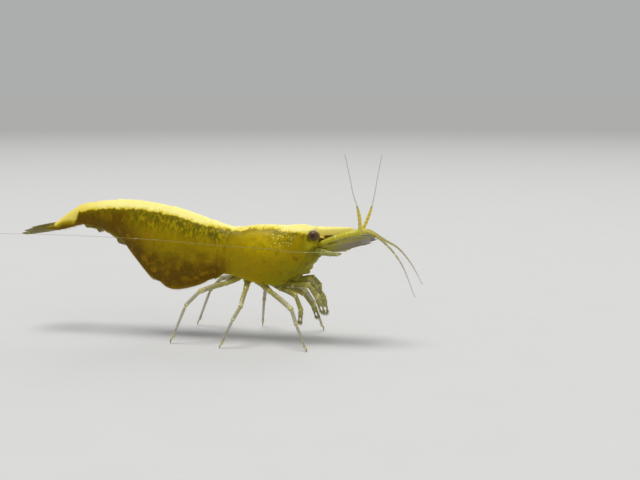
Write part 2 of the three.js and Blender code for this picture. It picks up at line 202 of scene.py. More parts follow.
# %% Casting
class Casting:
    """Closed bodies gathered for one mesh, in millimetres of the animal's own frame."""

    def __init__(self, *marks):
        self.marks = marks
        self.points = []
        self.faces = []
        self.values = {mark: [] for mark in marks}
        self.count = 0

    def add(self, points, face_blocks, **values):
        """Adds points with blocks of faces, and the value of each mark at those points."""
        points = np.asarray(points, float).reshape(-1, 3)
        for block in face_blocks:
            self.faces.extend((np.asarray(block) + self.count).tolist())
        for mark in self.marks:
            value = np.asarray(values.get(mark, 0.0), float).ravel()
            self.values[mark].append(np.broadcast_to(value, len(points)))
        self.points.append(points)
        self.count += len(points)

    def mesh(self, name):
        """The mesh, still in millimetres, with its marks and with every face turned outwards."""
        mesh = bpy.data.meshes.new(name)
        mesh.from_pydata(np.concatenate(self.points).tolist(), [], self.faces)
        for mark in self.marks:
            layer = mesh.attributes.new(mark, "FLOAT", "POINT")
            layer.data.foreach_set("value", np.concatenate(self.values[mark]))
        shape = bmesh.new()
        shape.from_mesh(mesh)
        bmesh.ops.recalc_face_normals(shape, faces=shape.faces)
        shape.to_mesh(mesh)
        shape.free()
        return mesh


print("a casting keeps its points, its faces and a few marks")


# %% Grids and plates
def grid_faces(rows, columns, wrapped=False):
    """Four-sided faces over a grid of points, joined round in columns if it is wrapped."""
    across = columns if wrapped else columns - 1
    row, column = np.meshgrid(np.arange(rows - 1), np.arange(across), indexing="ij")
    beside = (column + 1) % columns
    corners = (row * columns + column, row * columns + beside,
               (row + 1) * columns + beside, (row + 1) * columns + column)
    return np.stack(corners, axis=-1).reshape(-1, 4)


def grid_normals(grid):
    """The normal at each point of a grid."""
    along, around = np.gradient(grid, axis=0), np.gradient(grid, axis=1)
    return unit(np.cross(along, around))


def add_plate(casting, top, thickness, inwards, **values):
    """A thin closed plate: a grid of points and a copy of it pushed in by its thickness."""
    rows, columns = top.shape[:2]
    thickness = np.broadcast_to(thickness, (rows, columns))[..., None]
    under = top + inwards * thickness
    index = np.arange(rows * columns).reshape(rows, columns)
    rim = np.r_[index[0], index[1:, -1], index[-1, -2::-1], index[-2:0:-1, 0]]
    ahead = np.roll(rim, -1)
    size = rows * columns
    sheet = grid_faces(rows, columns)
    edge_faces = np.stack([rim, ahead, ahead + size, rim + size], axis=-1)
    twice = {mark: np.tile(np.broadcast_to(v, (rows, columns)).ravel(), 2)
             for mark, v in values.items()}
    casting.add(np.stack([top, under]), [sheet, sheet[:, ::-1] + size, edge_faces], **twice)


print("a grid of 3 by 4 points has", len(grid_faces(3, 4)), "faces")


# %% Lofts and tubes
def add_loft(casting, loops, noses, **values):
    """A closed body through loops of points, ended by a point at each nose."""
    rows, sides = loops.shape[:2]
    size = rows * sides
    first = np.arange(sides)
    last = first + size - sides
    fans = [np.stack([np.roll(first, -1), first, np.full(sides, size)], axis=-1),
            np.stack([last, np.roll(last, -1), np.full(sides, size + 1)], axis=-1)]
    points = np.concatenate([loops.reshape(-1, 3), noses])
    casting.add(points, [grid_faces(rows, sides, wrapped=True), *fans], **values)


CAP_TURNS = np.radians([25, 55, 78])     # rings of a rounded end, from its nose outwards


def add_tube(casting, path, wide, high=None, across=(0, 1, 0), sides=12, blunt=1.0, **values):
    """A closed body along a path, rounded at both ends; `wide` is measured along `across`."""
    path = np.asarray(path, float)
    count = len(path)
    wide = np.broadcast_to(wide, count).astype(float)
    high = wide if high is None else np.broadcast_to(high, count).astype(float)
    ahead = unit(np.gradient(path, axis=0))
    across = np.broadcast_to(across, (count, 3))
    side = unit(across - ahead * np.sum(across * ahead, axis=1, keepdims=True))
    up = np.cross(side, ahead)
    nose = blunt * np.minimum(wide[[0, -1]], high[[0, -1]])
    back_out, drawn_in = np.cos(CAP_TURNS), np.sin(CAP_TURNS)
    caps = len(CAP_TURNS)
    order = np.r_[[0] * caps, np.arange(count), [count - 1] * caps]
    push = np.r_[-nose[0] * back_out, np.zeros(count), nose[1] * back_out[::-1]]
    share = np.r_[drawn_in, np.ones(count), drawn_in[::-1]]
    centre = path[order] + ahead[order] * push[:, None]
    turn = np.linspace(0, 2 * np.pi, sides, endpoint=False)
    reach_side = (wide[order] * share)[:, None, None] * side[order][:, None]
    reach_up = (high[order] * share)[:, None, None] * up[order][:, None]
    rings = (centre[:, None] + np.cos(turn)[None, :, None] * reach_side
             + np.sin(turn)[None, :, None] * reach_up)
    noses = np.stack([path[0] - ahead[0] * nose[0], path[-1] + ahead[-1] * nose[1]])
    spread = {name: np.r_[np.repeat(np.broadcast_to(v, count)[order], sides),
                          np.broadcast_to(v, count)[[0, -1]]]
              for name, v in values.items()}
    add_loft(casting, rings, noses, **spread)


trial = Casting()
add_tube(trial, [(0, 0, 0), (5, 0, 0), (10, 0, 0)], 1.0)
print("a trial tube has", trial.count, "points and", len(trial.faces), "faces")

# %% Hairs
HAIR_TURNS = np.radians([0, 120, 240])
HAIR_POINTS = 7              # three at the root, three in the middle, and the tip
HAIR_WAIST = 0.7             # thickness in the middle, as a share of the root's


def add_hairs(casting, roots, tips, thick, bend=(0, 0, 0), **values):
    """Many fine three-sided hairs, each a closed spike with a bend in the middle."""
    roots, tips = np.atleast_2d(roots).astype(float), np.atleast_2d(tips).astype(float)
    ahead = unit(tips - roots)
    handy = np.where(np.abs(ahead[:, 2:]) < 0.9, [[0.0, 0.0, 1.0]], [[1.0, 0.0, 0.0]])
    side = unit(np.cross(ahead, handy))
    up = np.cross(side, ahead)
    ring = (np.cos(HAIR_TURNS)[None, :, None] * side[:, None]
            + np.sin(HAIR_TURNS)[None, :, None] * up[:, None])
    thick = np.broadcast_to(thick, len(roots))[:, None, None]
    middle = (roots + tips) / 2 + np.asarray(bend, float)
    points = np.concatenate([roots[:, None] + ring * thick,
                             middle[:, None] + ring * thick * HAIR_WAIST, tips[:, None]], axis=1)
    start = HAIR_POINTS * np.arange(len(roots))[:, None, None]
    walls = np.array([[0, 1, 4, 3], [1, 2, 5, 4], [2, 0, 3, 5]])
    ends = np.array([[3, 4, 6], [4, 5, 6], [5, 3, 6], [2, 1, 0]])
    spread = {mark: np.repeat(np.broadcast_to(v, len(roots)), HAIR_POINTS)
              for mark, v in values.items()}
    casting.add(points, [(walls + start).reshape(-1, 4), (ends + start).reshape(-1, 3)], **spread)


trial = Casting()
add_hairs(trial, [(0, 0, 0), (1, 0, 0)], [(0, 0, 1), (1, 0, 1)], 0.01)
print("two trial hairs have", trial.count, "points and", len(trial.faces), "faces")

# %% [markdown]
# ## Shader sums as Python
# Node trees are easier to read as sums. This class wraps one socket, and a sum on wires adds its
# Math nodes. Every other node comes from one method: its type, its settings, then its sockets.


# %% Wires
class Wire:
    """A socket in a node tree, or only the tree when it has no socket yet."""

    def __init__(self, tree, socket=None):
        self.tree = tree
        self.socket = socket

    def node(self, kind, settings=None, inputs=None, output=0):
        """A new node of that type; gives the wire from one of its outputs."""
        node = self.tree.nodes.new(kind)
        for name, value in (settings or {}).items():
            setattr(node, name, value)
        for name, value in (inputs or {}).items():
            if isinstance(value, Wire):
                self.tree.links.new(value.socket, node.inputs[name])
            else:
                node.inputs[name].default_value = value
        return Wire(self.tree, node.outputs[output] if node.outputs else None)

    def sum(self, operation, *values):
        return self.node("ShaderNodeMath", {"operation": operation}, dict(enumerate(values)))

    def __add__(self, other):
        return self.sum("ADD", self, other)

    def __sub__(self, other):
        return self.sum("SUBTRACT", self, other)

    def __rsub__(self, other):
        return self.sum("SUBTRACT", other, self)

    def __mul__(self, other):
        return self.sum("MULTIPLY", self, other)

    __radd__ = __add__
    __rmul__ = __mul__


print("sums on wires: plus, minus and times")


# %% Colours, masks and noise
def screen(code):
    """The linear colour behind a screen colour such as "f6e58a"."""
    shown = [int(code[i:i + 2], 16) / 255 for i in (0, 2, 4)]
    linear = [((c + 0.055) / 1.055) ** 2.4 if c > 0.04045 else c / 12.92 for c in shown]
    return (*linear, 1.0)


def step(wire, low, high):
    """0 where the wire is at low, 1 at high, smooth between; low may be the larger one."""
    limits = {"Value": wire, "From Min": low, "From Max": high}
    return wire.node("ShaderNodeMapRange", {"interpolation_type": "SMOOTHSTEP"}, limits)


def mix(mask, first, second):
    """The first colour where the mask is 0, and the second where it is 1."""
    return mask.node("ShaderNodeMix", {"data_type": "RGBA"}, {0: mask, 6: first, 7: second}, 2)


def mark(paint, name):
    """A number that the casting left at each point."""
    return paint.node("ShaderNodeAttribute", {"attribute_name": name}, {}, "Fac")


def noise(paint, where, size, detail=2.0):
    """Cloudy noise from 0 to 1 whose patches are about `size` millimetres."""
    return paint.node("ShaderNodeTexNoise", {},
                      {"Vector": where, "Scale": 1 / size, "Detail": detail}, "Fac")


def dots(paint, where, spacing, radius, share):
    """Round dots, 1 inside, at random places `spacing` millimetres apart; some are left out."""
    cell = {"Vector": where, "Scale": 1 / spacing}
    near = paint.node("ShaderNodeTexVoronoi", {}, cell, "Distance")
    kind = paint.node("ShaderNodeTexVoronoi", {}, cell, "Color")
    drawn = kind.node("ShaderNodeSeparateColor", {}, {"Color": kind}, "Red")
    edge = radius / spacing
    return step(near, edge * 1.3, edge * 0.6) * step(drawn, 1.05 - share, 1.1 - share)


print("screen grey 808080 is", round(screen("808080")[0], 3), "in linear light")


# %% Starting and ending a finish
def new_finish(name):
    """A new material: its name, a wire in its tree, and a place on the piece in millimetres."""
    material = bpy.data.materials.new(name)
    material.use_nodes = True
    material.node_tree.nodes.clear()
    paint = Wire(material.node_tree)
    place = paint.node("ShaderNodeTexCoord", {}, {}, "Object")
    where = paint.node("ShaderNodeVectorMath", {"operation": "SCALE"},
                       {0: place, "Scale": 1 / MM})
    return material, paint, where


def coat(paint, colour, roughness, relief, depth, **steady):
    """Ends a finish: a Principled shader with bumps `depth` millimetres deep."""
    bump = paint.node("ShaderNodeBump", {}, {"Height": relief, "Distance": depth * MM})
    sockets = {"Base Color": colour, "Roughness": roughness, "Normal": bump}
    sockets.update({name.replace("_", " "): value for name, value in steady.items()})
    shader = paint.node("ShaderNodeBsdfPrincipled", {}, sockets)
    paint.node("ShaderNodeOutputMaterial", {}, {"Surface": shader})


print("a finish runs from new_finish to coat, with its bumps in millimetres")

# %% [markdown]
# ## Floor and light
# The model stands on a wide pale floor. Lamps near a small model would leave pools of light
# on so wide a floor, so the light comes from broad soft suns, which are as strong everywhere:
# one high above, as over an aquarium, one in front of the face, and one behind that outlines
# the back and the feelers. Far out the floor darkens a little until it meets the sky's grey,
# and no hard horizon is left.


# %% Lights and sky
SKY = 0.42                   # brightness of the sky all round
SUNS = (                     # name, where it shines from, strength, angle across, colour
    ("sun_above", (-0.2, -0.04, 1.0), 2.2, 32, (1.0, 0.985, 0.95)),
    ("sun_front", (0.8, -0.7, 0.35), 0.45, 50, (0.96, 0.98, 1.0)),
    ("sun_behind", (0.1, 0.9, 0.55), 0.6, 40, (1.0, 1.0, 1.0)))
SKY_COLOUR = (0.985, 0.995, 1.0, 1)

sun_light = 0.0
for name, shines_from, strength, angle, colour in SUNS:
    data = bpy.data.lights.new(name, "SUN")
    data.energy = strength
    data.angle = math.radians(angle)
    data.color = colour
    sun = bpy.data.objects.new(name, data)
    sun.rotation_euler = Vector(shines_from).to_track_quat("Z", "Y").to_euler()
    bpy.context.scene.collection.objects.link(sun)
    sun_light += strength * Vector(shines_from).normalized().z / math.pi
world = bpy.data.worlds.new("studio")
world.use_nodes = True
world.node_tree.nodes["Background"].inputs["Color"].default_value = SKY_COLOUR
world.node_tree.nodes["Background"].inputs["Strength"].default_value = SKY
bpy.context.scene.world = world
bpy.context.scene.view_settings.view_transform = "Standard"
print("sun light on the floor:", round(sun_light, 3))

# %% Floor
FLOOR_REACH = 8.0            # metres from the middle to the floor's edge
FLOOR_NEAR = (0.56, 0.562, 0.565, 1.0)
FLOOR_NEAR_TOO = (0.58, 0.58, 0.58, 1.0)
DARKENS_FROM, DARKENS_TO = 30.0, 600.0   # millimetres from the middle


def floor_finish(far):
    """Pale grey that darkens to a far grey with the distance from the middle."""
    material, paint, where = new_finish("pale_floor")
    cloud = noise(paint, where, 6.0, 3.0)
    grain = noise(paint, where, 0.4, 2.0)
    flat_out = paint.node("ShaderNodeVectorMath", {"operation": "LENGTH"}, {0: where}, "Value")
    near = mix(cloud, FLOOR_NEAR, FLOOR_NEAR_TOO)
    colour = mix(step(flat_out, DARKENS_FROM, DARKENS_TO), near, (far, far, far, 1.0))
    coat(paint, colour, 0.9 + grain * 0.1, grain, 0.02, Specular_IOR_Level=0.0)
    return material


far_grey = SKY / (SKY + sun_light)
floor_mesh = bpy.data.meshes.new("floor")
corners = [(x * FLOOR_REACH, y * FLOOR_REACH, 0) for x, y in ((-1, -1), (1, -1), (1, 1), (-1, 1))]
floor_mesh.from_pydata(corners, [], [(0, 1, 2, 3)])
floor_mesh.materials.append(floor_finish(far_grey))
floor = bpy.data.objects.new("floor", floor_mesh)
bpy.context.scene.collection.objects.link(floor)
floor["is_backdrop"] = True
print("floor:", 2 * FLOOR_REACH, "m across; far grey:", round(far_grey, 3))

# %% [markdown]
# ## The lines of the trunk
# Three lines along the body give its whole form: the back, the lower edge of the side plates,
# and the half width. A fourth says how deep the golden band reaches down from the back. The
# section is round on top and tucks in a little below. `lap` walks round it, from -1 at the left
# lower edge over 0 on the back to 1 at the right lower edge. A sculpted body would hide these
# choices, while lines can be set beside the solids and changed one station at a time.

# %% Trunk lines
BACK = smooth_line([
    (-15.7, 8.87), (-14.6, 9.7), (-13.4, 10.4), (-11.6, 10.74), (-10.1, 10.88), (-8.2, 10.84),
    (-5.2, 10.36), (-3.0, 9.72), (-1.2, 9.14), (0, 8.93), (1.8, 9.15), (4.0, 9.17),
    (5.3, 9.23), (6.2, 9.07), (7.4, 9.02)])
LOWER_EDGE = smooth_line([
    (-15.7, 8.27), (-14.7, 8.42), (-13.4, 8.8), (-12.4, 8.82), (-11.6, 8.7), (-10.6, 8.32),
    (-9.7, 7.85), (-8.3, 6.35),
    (-7.0, 4.9), (-5.8, 4.1), (-4.7, 3.92), (-3.2, 4.22), (-1.6, 4.75), (-0.7, 5.3),
    (0.3, 5.15), (1.5, 4.85), (2.8, 4.62), (4.0, 4.66), (5.2, 5.3), (6.3, 6.4), (7.2, 7.0)])
HALF_WIDTH = smooth_line([
    (-15.7, 0.62), (-14.0, 0.84), (-12.0, 1.08), (-10.0, 1.32), (-7.5, 1.62), (-4.5, 1.82),
    (-1.5, 1.68), (0, 1.72), (2.0, 1.92), (4.0, 1.78), (5.5, 1.4), (6.5, 1.06), (7.2, 0.9)])
BAND_DEPTH = smooth_line([
    (-15.7, 0.42), (-14.7, 0.72), (-14.0, 1.1), (-13.6, 1.2), (-13.3, 0.66), (-11.0, 0.68),
    (-9.0, 0.68), (-7.0, 0.6), (-5.0, 0.57), (-3.0, 0.52), (-2.0, 0.42), (-1.2, 0.3),
    (-0.5, 0.26), (-0.15, 0.3), (0.25, 0.24), (1.0, 0.23), (3.0, 0.26), (3.7, 0.34),
    (4.4, 0.5), (5.2, 0.6), (6.0, 0.55), (6.8, 0.8), (9.5, 0.9)])
WIDEST = 0.56                # how far down the side the trunk is widest
TUCK = 0.16                  # how much narrower it is at the lower edge
ROUNDNESS = 0.94             # below 1 the back is fuller than an ellipse
ROUND_PART = 0.58            # the share of the laps that the round back gets
print("trunk: back", round(float(BACK(-10)), 2), "mm up and",
      round(float(2 * HALF_WIDTH(2)), 2), "mm wide at most")

# %% Points of the trunk
TRUNK_MARKS = ("ahead", "drop", "band")


def flank(down):
    """The share of the half width at a share `down` of the way from the back to the edge."""
    upper = np.sqrt(np.clip(1 - (1 - down / WIDEST) ** 2, 0, 1)) ** ROUNDNESS
    lower = 1 - TUCK * ((down - WIDEST) / (1 - WIDEST)) ** 2
    return np.where(down < WIDEST, upper, lower)


def trunk(x, lap):
    """Points of the trunk's outside."""
    down = np.abs(lap)
    y = -np.sign(lap) * HALF_WIDTH(x) * flank(down)
    z = BACK(x) + (LOWER_EDGE(x) - BACK(x)) * down
    return np.stack(np.broadcast_arrays(x, y, z), axis=-1)


def even_laps(count):
    """Laps whose steps are about as long on the round back as on the flat sides."""
    t = np.linspace(-1, 1, count)
    on_back = WIDEST * (1 - np.cos(np.pi / 2 * np.minimum(np.abs(t) / ROUND_PART, 1)))
    on_side = (1 - WIDEST) * np.maximum((np.abs(t) - ROUND_PART) / (1 - ROUND_PART), 0)
    return np.sign(t) * (on_back + on_side)


def trunk_marks(points):
    """How far ahead, how far down, and how deep inside the golden band each point lies."""
    x, z = points[..., 0], points[..., 2]
    below = BACK(x) - z
    return {"ahead": x, "drop": below / (BACK(x) - LOWER_EDGE(x)), "band": BAND_DEPTH(x) - below}


print("a point of the back:", trunk(np.array(-10.0), np.array(0.0)).round(2))

# %% [markdown]
# ## Golden band, olive sides
# The shell itself is clear. What shows is mostly the pigment under it: a dense pale-yellow band along
# the back with a ragged lower edge, and olive-yellow sides, warmer over the head shield, darker
# and browner towards the tail, combed with green streaks below the band. There are amber
# blotches low on the belly and golden freckles behind the eye. Some of the colour is painted
# light and shade: the brown of the low belly is darkened with painted shade under the body, each
# eye socket is painted paler to lift the shade in its cup, and the face between the eyes is a
# painted shade. Such a coat could be painted by hand on an unwrapped map. Here each marking is a
# mask, made of places along the body and of noise, so it needs no map, and plates and skin that
# share one colour function carry the same markings across every joint. A little light passes
# under the surface, which gives the flesh its soft, wet look.

# %% Colours of the body
BAND_PALE = screen("fff08c")
BAND_DEEP = screen("e2c322")
BAND_REAR = screen("f4d964")
SHIELD_YELLOW = screen("a38904")
SHIELD_GOLD = screen("c3a806")
SHIELD_GREEN = screen("948a0a")
CHEEK_GREEN = screen("847d0c")
TEMPLE_GREEN = screen("6f6803")
# painted light: a pale yellow that lifts the shade in the cup round each eyestalk
SOCKET_PAINTED_LIGHT = screen("b7a91c")
# painted shade on the face between the eyes
FACE_SHADE = screen("3d3212")
TAIL_YELLOW = screen("9c8403")
TAIL_BROWN = screen("674a02")
TAIL_AMBER = screen("96720a")
UPPER_GREEN = screen("625c03")
STREAK_YELLOW = screen("a99c0a")
# the brown of the eggs under the belly, darkened as painted shade under the body
BELLY_BROWN_AND_SHADE = screen("604703")
AMBER = screen("957106")
SPOT_BROWN = screen("77570a")
PALE_RIM = screen("a3973c")
FRECKLE = screen("ecdc78")
# FACE_SHADE is a painted shade, not a pigment
print("the darkest and the palest pigment:", [round(c, 3) for c in FACE_SHADE[:3]],
      [round(c, 3) for c in BAND_PALE[:3]])

# %% What the markings are drawn from
STREAK_SIZE = (1.0, 1.0, 0.28)   # streaks are noise drawn out upwards


class Pigment:
    """Places on the body and noises of several sizes, which every marking is drawn from."""

    def __init__(self, paint, where):
        self.paint = paint
        self.where = where
        self.ahead, self.drop, self.band = (mark(paint, name) for name in TRUNK_MARKS)
        self.cloud = noise(paint, where, 1.1, 3.0)
        self.blotch = noise(paint, where, 0.75, 2.0)
        self.mottle = noise(paint, where, 0.42, 3.0)
        self.grain = noise(paint, where, 0.11, 2.0)
        drawn_out = paint.node("ShaderNodeVectorMath", {"operation": "MULTIPLY"},
                               {0: where, 1: STREAK_SIZE})
        self.streak = noise(paint, drawn_out, 0.2, 2.0)


def ground_colour(on):
    """A yellow shield, golden in its middle, and a tail that grows brown to the rear."""
    sides = mix(step(on.ahead, -2.6, 0.4), TAIL_YELLOW, SHIELD_YELLOW)
    sides = mix(step(on.blotch, 0.5, 0.68) * step(on.ahead, -0.6, 0.4) * 0.55, sides, SHIELD_GREEN)
    sides = mix(step(on.mottle, 0.54, 0.7) * step(on.drop, 0.3, 0.6) * 0.3, sides, SPOT_BROWN)
    golden = (step(on.ahead + on.cloud * 2.0, 1.6, 3.4) * step(on.ahead, 4.9, 3.6)
              * step(on.drop, 0.66, 0.26))
    sides = mix(golden * step(on.mottle, 0.25, 0.6), sides, SHIELD_GOLD)
    sides = mix(step(on.ahead + on.cloud * 4.0, -4.0, -8.5), sides, TAIL_BROWN)
    patchy = step(on.ahead, -3.5, -6.0) * step(on.drop, 0.75, 0.45)
    patch = step(on.blotch + (on.streak - 0.5) * 0.4, 0.5, 0.66)
    return mix(patchy * patch * 0.7, sides, TAIL_AMBER)


print("streaks are", round(1 / STREAK_SIZE[2], 1), "times as long as they are wide")


# %% Shade, face and belly
def green_shade(on, sides):
    """A green shade under the band, combed into light and dark streaks."""
    shade = (step(on.band + on.mottle * 0.9, -1.5, 0.1) * step(on.ahead, 0.6, -1.4)
             * step(on.ahead, -14.0, -8.0))
    sides = mix(shade * step(on.streak, 0.36, 0.6) * step(on.cloud, 0.3, 0.5), sides, UPPER_GREEN)
    light = shade * step(on.streak, 0.5, 0.34) * step(on.ahead, -9.5, -6.5)
    sides = mix(light * 0.7, sides, STREAK_YELLOW)
    line = step(on.band + on.mottle * 0.2, -0.3, 0.06) * step(on.ahead, 5.6, 4.6)
    return mix(line * 0.5, sides, TEMPLE_GREEN)


def face_colour(on, sides):
    """The cheek, the dark net behind the eye, painted light in its socket and painted shade between the
    eyes.
    """
    cheek = step(on.drop, 0.5, 1.0) * step(on.ahead, 1.0, 4.5)
    cheek = cheek.sum("MAXIMUM", cheek, step(on.ahead, 5.3, 6.3))
    sides = mix(cheek, sides, CHEEK_GREEN)
    temple = step(on.ahead + on.cloud * 1.5, 3.2, 4.4) * step(on.drop, 0.5, 0.2)
    sides = mix(temple * step(on.mottle, 0.42, 0.62) * 0.75, sides, TEMPLE_GREEN)
    # painted light: the eye socket is painted paler to lift the shade of its cup
    sides = mix(step(on.ahead, 5.6, 6.2) * step(on.drop, 0.62, 0.5), sides, SOCKET_PAINTED_LIGHT)
    # painted shade: the face between the eyes is painted dark where beak and far eyestalk leave a
    # shaded gap
    shade_between_eyes = (step(on.ahead, 6.62, 6.82) * step(on.drop, 0.2, 0.3)
                    * step(on.drop, 0.62, 0.5))
    return mix(shade_between_eyes, sides, FACE_SHADE)


def belly_colour(on, sides):
    """The belly that shelters the eggs, brown from the eggs and darkened with painted shade under the
    body, with amber blotches, and the pale rims of the tail.
    """
    # the low belly: brown of the eggs plus painted shade under the body; amber blotches lie on it
    belly = step(on.drop + on.cloud * 0.6, 0.72, 1.1) * step(on.ahead, 0.3, -1.4)
    belly = belly * step(on.ahead, -11.5, -8.5)
    sides = mix(belly, sides, BELLY_BROWN_AND_SHADE)
    sides = mix(belly * step(on.blotch + (on.mottle - 0.5) * 0.4, 0.48, 0.7) * 0.75, sides, AMBER)
    return mix(step(on.drop, 0.95, 1.04) * step(on.ahead, -14.0, -12.0) * 0.5, sides, PALE_RIM)


print("shade, face and belly go over the ground colour")


# %% Freckles and band
def freckles_and_grain(on, sides):
    """Brown spots low on the shield, freckles that crowd behind the eye, and a fine grain."""
    spots = step(noise(on.paint, on.where, 0.5, 3.0), 0.56, 0.68) * step(on.drop, 0.35, 0.5)
    sides = mix(spots * step(on.ahead, 0.5, 2.5) * 0.6, sides, SPOT_BROWN)
    crowd = step(on.ahead, 2.4, 3.2) * step(on.ahead, 5.4, 4.3) * step(on.drop, 0.44, 0.26)
    freckles = dots(on.paint, on.where, 0.23, 0.075, 0.8) * crowd * step(on.mottle, 0.36, 0.5)
    scattered = dots(on.paint, on.where, 0.3, 0.055, 0.4) * step(on.mottle, 0.5, 0.6)
    scattered = scattered * step(on.ahead, -7.0, 1.0) * 0.5
    sides = mix(freckles.sum("MAXIMUM", freckles, scattered) * 0.75, sides, FRECKLE)
    sides = mix(step(on.grain, 0.5, 0.75) * 0.26, sides, UPPER_GREEN)
    return mix(step(on.grain, 0.46, 0.26) * 0.22, sides, SHIELD_GOLD)


def golden_band(on, sides):
    """The golden band with its ragged edge."""
    ragged = on.band + (noise(on.paint, on.where, 0.5, 3.0) - 0.5) * 0.42 + (on.streak - 0.5) * 0.3
    pale = mix(step(on.ahead, -10.5, -13.5), BAND_PALE, BAND_REAR)
    gold = mix(step(ragged, 0.0, 0.26), BAND_DEEP, pale)
    soft = step(on.ahead, -13.45, -14.0) * 0.24
    return mix(step(ragged, -0.05 - soft, 0.07 + soft), sides, gold)


LAYERS = (green_shade, face_colour, belly_colour, freckles_and_grain, golden_band)
print("the body is painted in", len(LAYERS), "layers over its ground colour")


# %% Shell and skin
def body_colour(paint, where):
    """The markings of the trunk, for its plates and its skin alike."""
    on = Pigment(paint, where)
    colour = ground_colour(on)
    for layer in LAYERS:
        colour = layer(on, colour)
    return colour, on.mottle, on.grain


def armour_finish():
    """The plates: pigment seen through a thin clear shell with fine pits."""
    material, paint, where = new_finish("clear_shell_over_pigment")
    colour, mottle, grain = body_colour(paint, where)
    pits = dots(paint, where, 0.1, 0.02, 0.7)
    coat(paint, colour, 0.3 + mottle * 0.16, grain * 0.6 - pits * 0.4, 0.012,
         Subsurface_Weight=0.3, Subsurface_Radius=(1.0, 0.75, 0.15), Subsurface_Scale=0.0004,
         Specular_IOR_Level=0.06, Coat_Weight=0.03, Coat_Roughness=0.12)
    return material


def skin_finish():
    """The flesh under the plates: softer folds, and light deeper under its surface."""
    material, paint, where = new_finish("soft_skin")
    colour, mottle, grain = body_colour(paint, where)
    folds = noise(paint, where, 0.2, 3.0)
    coat(paint, colour, 0.36 + mottle * 0.14, folds + grain * 0.5, 0.02,
         Subsurface_Weight=0.35, Subsurface_Radius=(1.0, 0.75, 0.2), Subsurface_Scale=0.0005,
         Specular_IOR_Level=0.14)
    return material


ARMOUR = armour_finish()
SKIN = skin_finish()
print("body colours mixed:", ARMOUR.name, "and", SKIN.name)

# %% [markdown]
# ## Putting a piece in its place
# A finished casting is shrunk to metres, given its finish, and the solids it stands for are hidden.
# The line it prints says how far the piece reaches beyond those solids, so that a slip shows.


# %% Placing
CREASE = math.radians(50)    # edges that turn more than this stay sharp
triangles_made = []


def place_mesh(name, mesh, finish, slot, *nodes):
    """Makes a mesh in millimetres into a piece that stands for some solids."""
    mesh.transform(TO_METRES)
    mesh.materials.append(finish)
    mesh.shade_smooth()
    mesh.set_sharp_from_angle(angle=CREASE)
    piece = bpy.data.objects.new(name, mesh)
    bpy.context.scene.collection.objects.link(piece)
    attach(piece, "root")
    points = np.empty(len(mesh.vertices) * 3, np.float32)
    mesh.vertices.foreach_get("co", points)
    points = points.reshape(-1, 3)
    beyond = 0.0
    if nodes:
        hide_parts(*nodes)
        boxes = [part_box(node) for node in nodes]
        low = np.min([box[0] for box in boxes], axis=0)
        high = np.max([box[1] for box in boxes], axis=0)
        beyond = max(float((low - points.min(0)).max()), float((points.max(0) - high).max()))
    triangles = sum(len(face.vertices) - 2 for face in mesh.polygons)
    triangles_made.append(triangles)
    print(f"{name}: {triangles} triangles, {beyond / MM:.2f} mm beyond its solids")


def place(name, casting, finish, slot, *nodes):
    """Makes a casting into a piece that stands for some solids."""
    place_mesh(name, casting.mesh(name), finish, slot, *nodes)


# %% [markdown]
# ## Armour plates
# A shrimp's shell is a row of thin plates that overlap like roof tiles, each one's hind edge
# over the front of the next. So each plate is a grid wrapped over the trunk, given a thickness,
# tucked under the plate before it and raised at its own hind rim. Carving one body with grooves
# would be quicker, but real edges catch the light, and show from below and behind.

# %% Plate maker
PLATE_THICK = 0.07           # millimetres
RIM_SHARE = 0.4              # thickness at a rim, as a share of the plate's
LAPS = even_laps(151)
CORNER_FROM = 0.72           # how far down a plate's corners start to rise


def outwards(grid):
    """Normals of a trunk grid, turned away from the body."""
    normals = grid_normals(grid)
    if normals[:, grid.shape[1] // 2, 2].mean() < 0:
        normals = -normals
    return normals


def plate_grid(front, rear, rows, lift, corner=None):
    """A plate's outside between a front and a rear line, each giving x for a share down."""
    down = np.abs(LAPS)[None, :]
    share = np.linspace(0, 1, rows)[:, None]
    x = front(down) + (rear(down) - front(down)) * share
    grid = trunk(x, LAPS[None, :])
    if corner:
        low = np.clip((down - CORNER_FROM) / 0.28, 0, 1)
        grid[..., 2] += corner(share) * low ** 1.5
    return grid + outwards(grid) * lift(x, share, down)[..., None]


def rim_thickness(rows, columns):
    """Plate thickness, thinner towards every edge."""
    along = np.minimum(np.arange(rows), np.arange(rows)[::-1])[:, None]
    around = np.minimum(np.arange(columns), np.arange(columns)[::-1])[None, :]
    return PLATE_THICK * (RIM_SHARE + (1 - RIM_SHARE) * rise(np.minimum(along, around), 0, 4))


def cast_plate(casting, grid):
    """A plate of the trunk, thickened inwards."""
    add_plate(casting, grid, rim_thickness(*grid.shape[:2]), -outwards(grid),
              **trunk_marks(grid))


print("plates have", len(LAPS), "laps, at most", round(float(np.diff(LAPS).max()), 3), "apart")

# %% [markdown]
# ## Tail plates
# The six tail plates follow joint lines that lean and bow. Three things make a swimming shrimp's
# tail its own: the second plate's side lobe laps over the first and the third, the female's
# lobes are deep and round to shelter her eggs, and the sixth plate is long and clasps the root
# of the tail fan. The six could be modelled one by one, but one function with a few numbers for
# each keeps their laps and rims alike.


# %% Joints of the tail
def joint_line(on_back, below, bow):
    """A joint's x for each share of the way down its side."""
    return lambda down: on_back + (below - on_back) * down - bow * np.sin(np.pi * down)


JOINTS = [
    joint_line(0, -0.62, 0.2), joint_line(-2.0, -1.75, -0.35), joint_line(-5.4, -6.5, 0.45),
    joint_line(-10.15, -9.75, 0.2), joint_line(-11.9, -11.65, 0.15),
    joint_line(-13.45, -13.35, 0.1), joint_line(-15.7, -15.55, 0)]
print("joints cross the back at x =", [round(float(joint(0.0)), 2) for joint in JOINTS])

# %% Tail plates
EDGE_HAIR = 0.12             # shortest hair along a plate's lower edge
TUCKED = 0.5                 # how far a plate runs on under the one before it
SUNK = 0.075                 # how deep it lies there
PROUD = 0.045                # how far its hind rim stands up


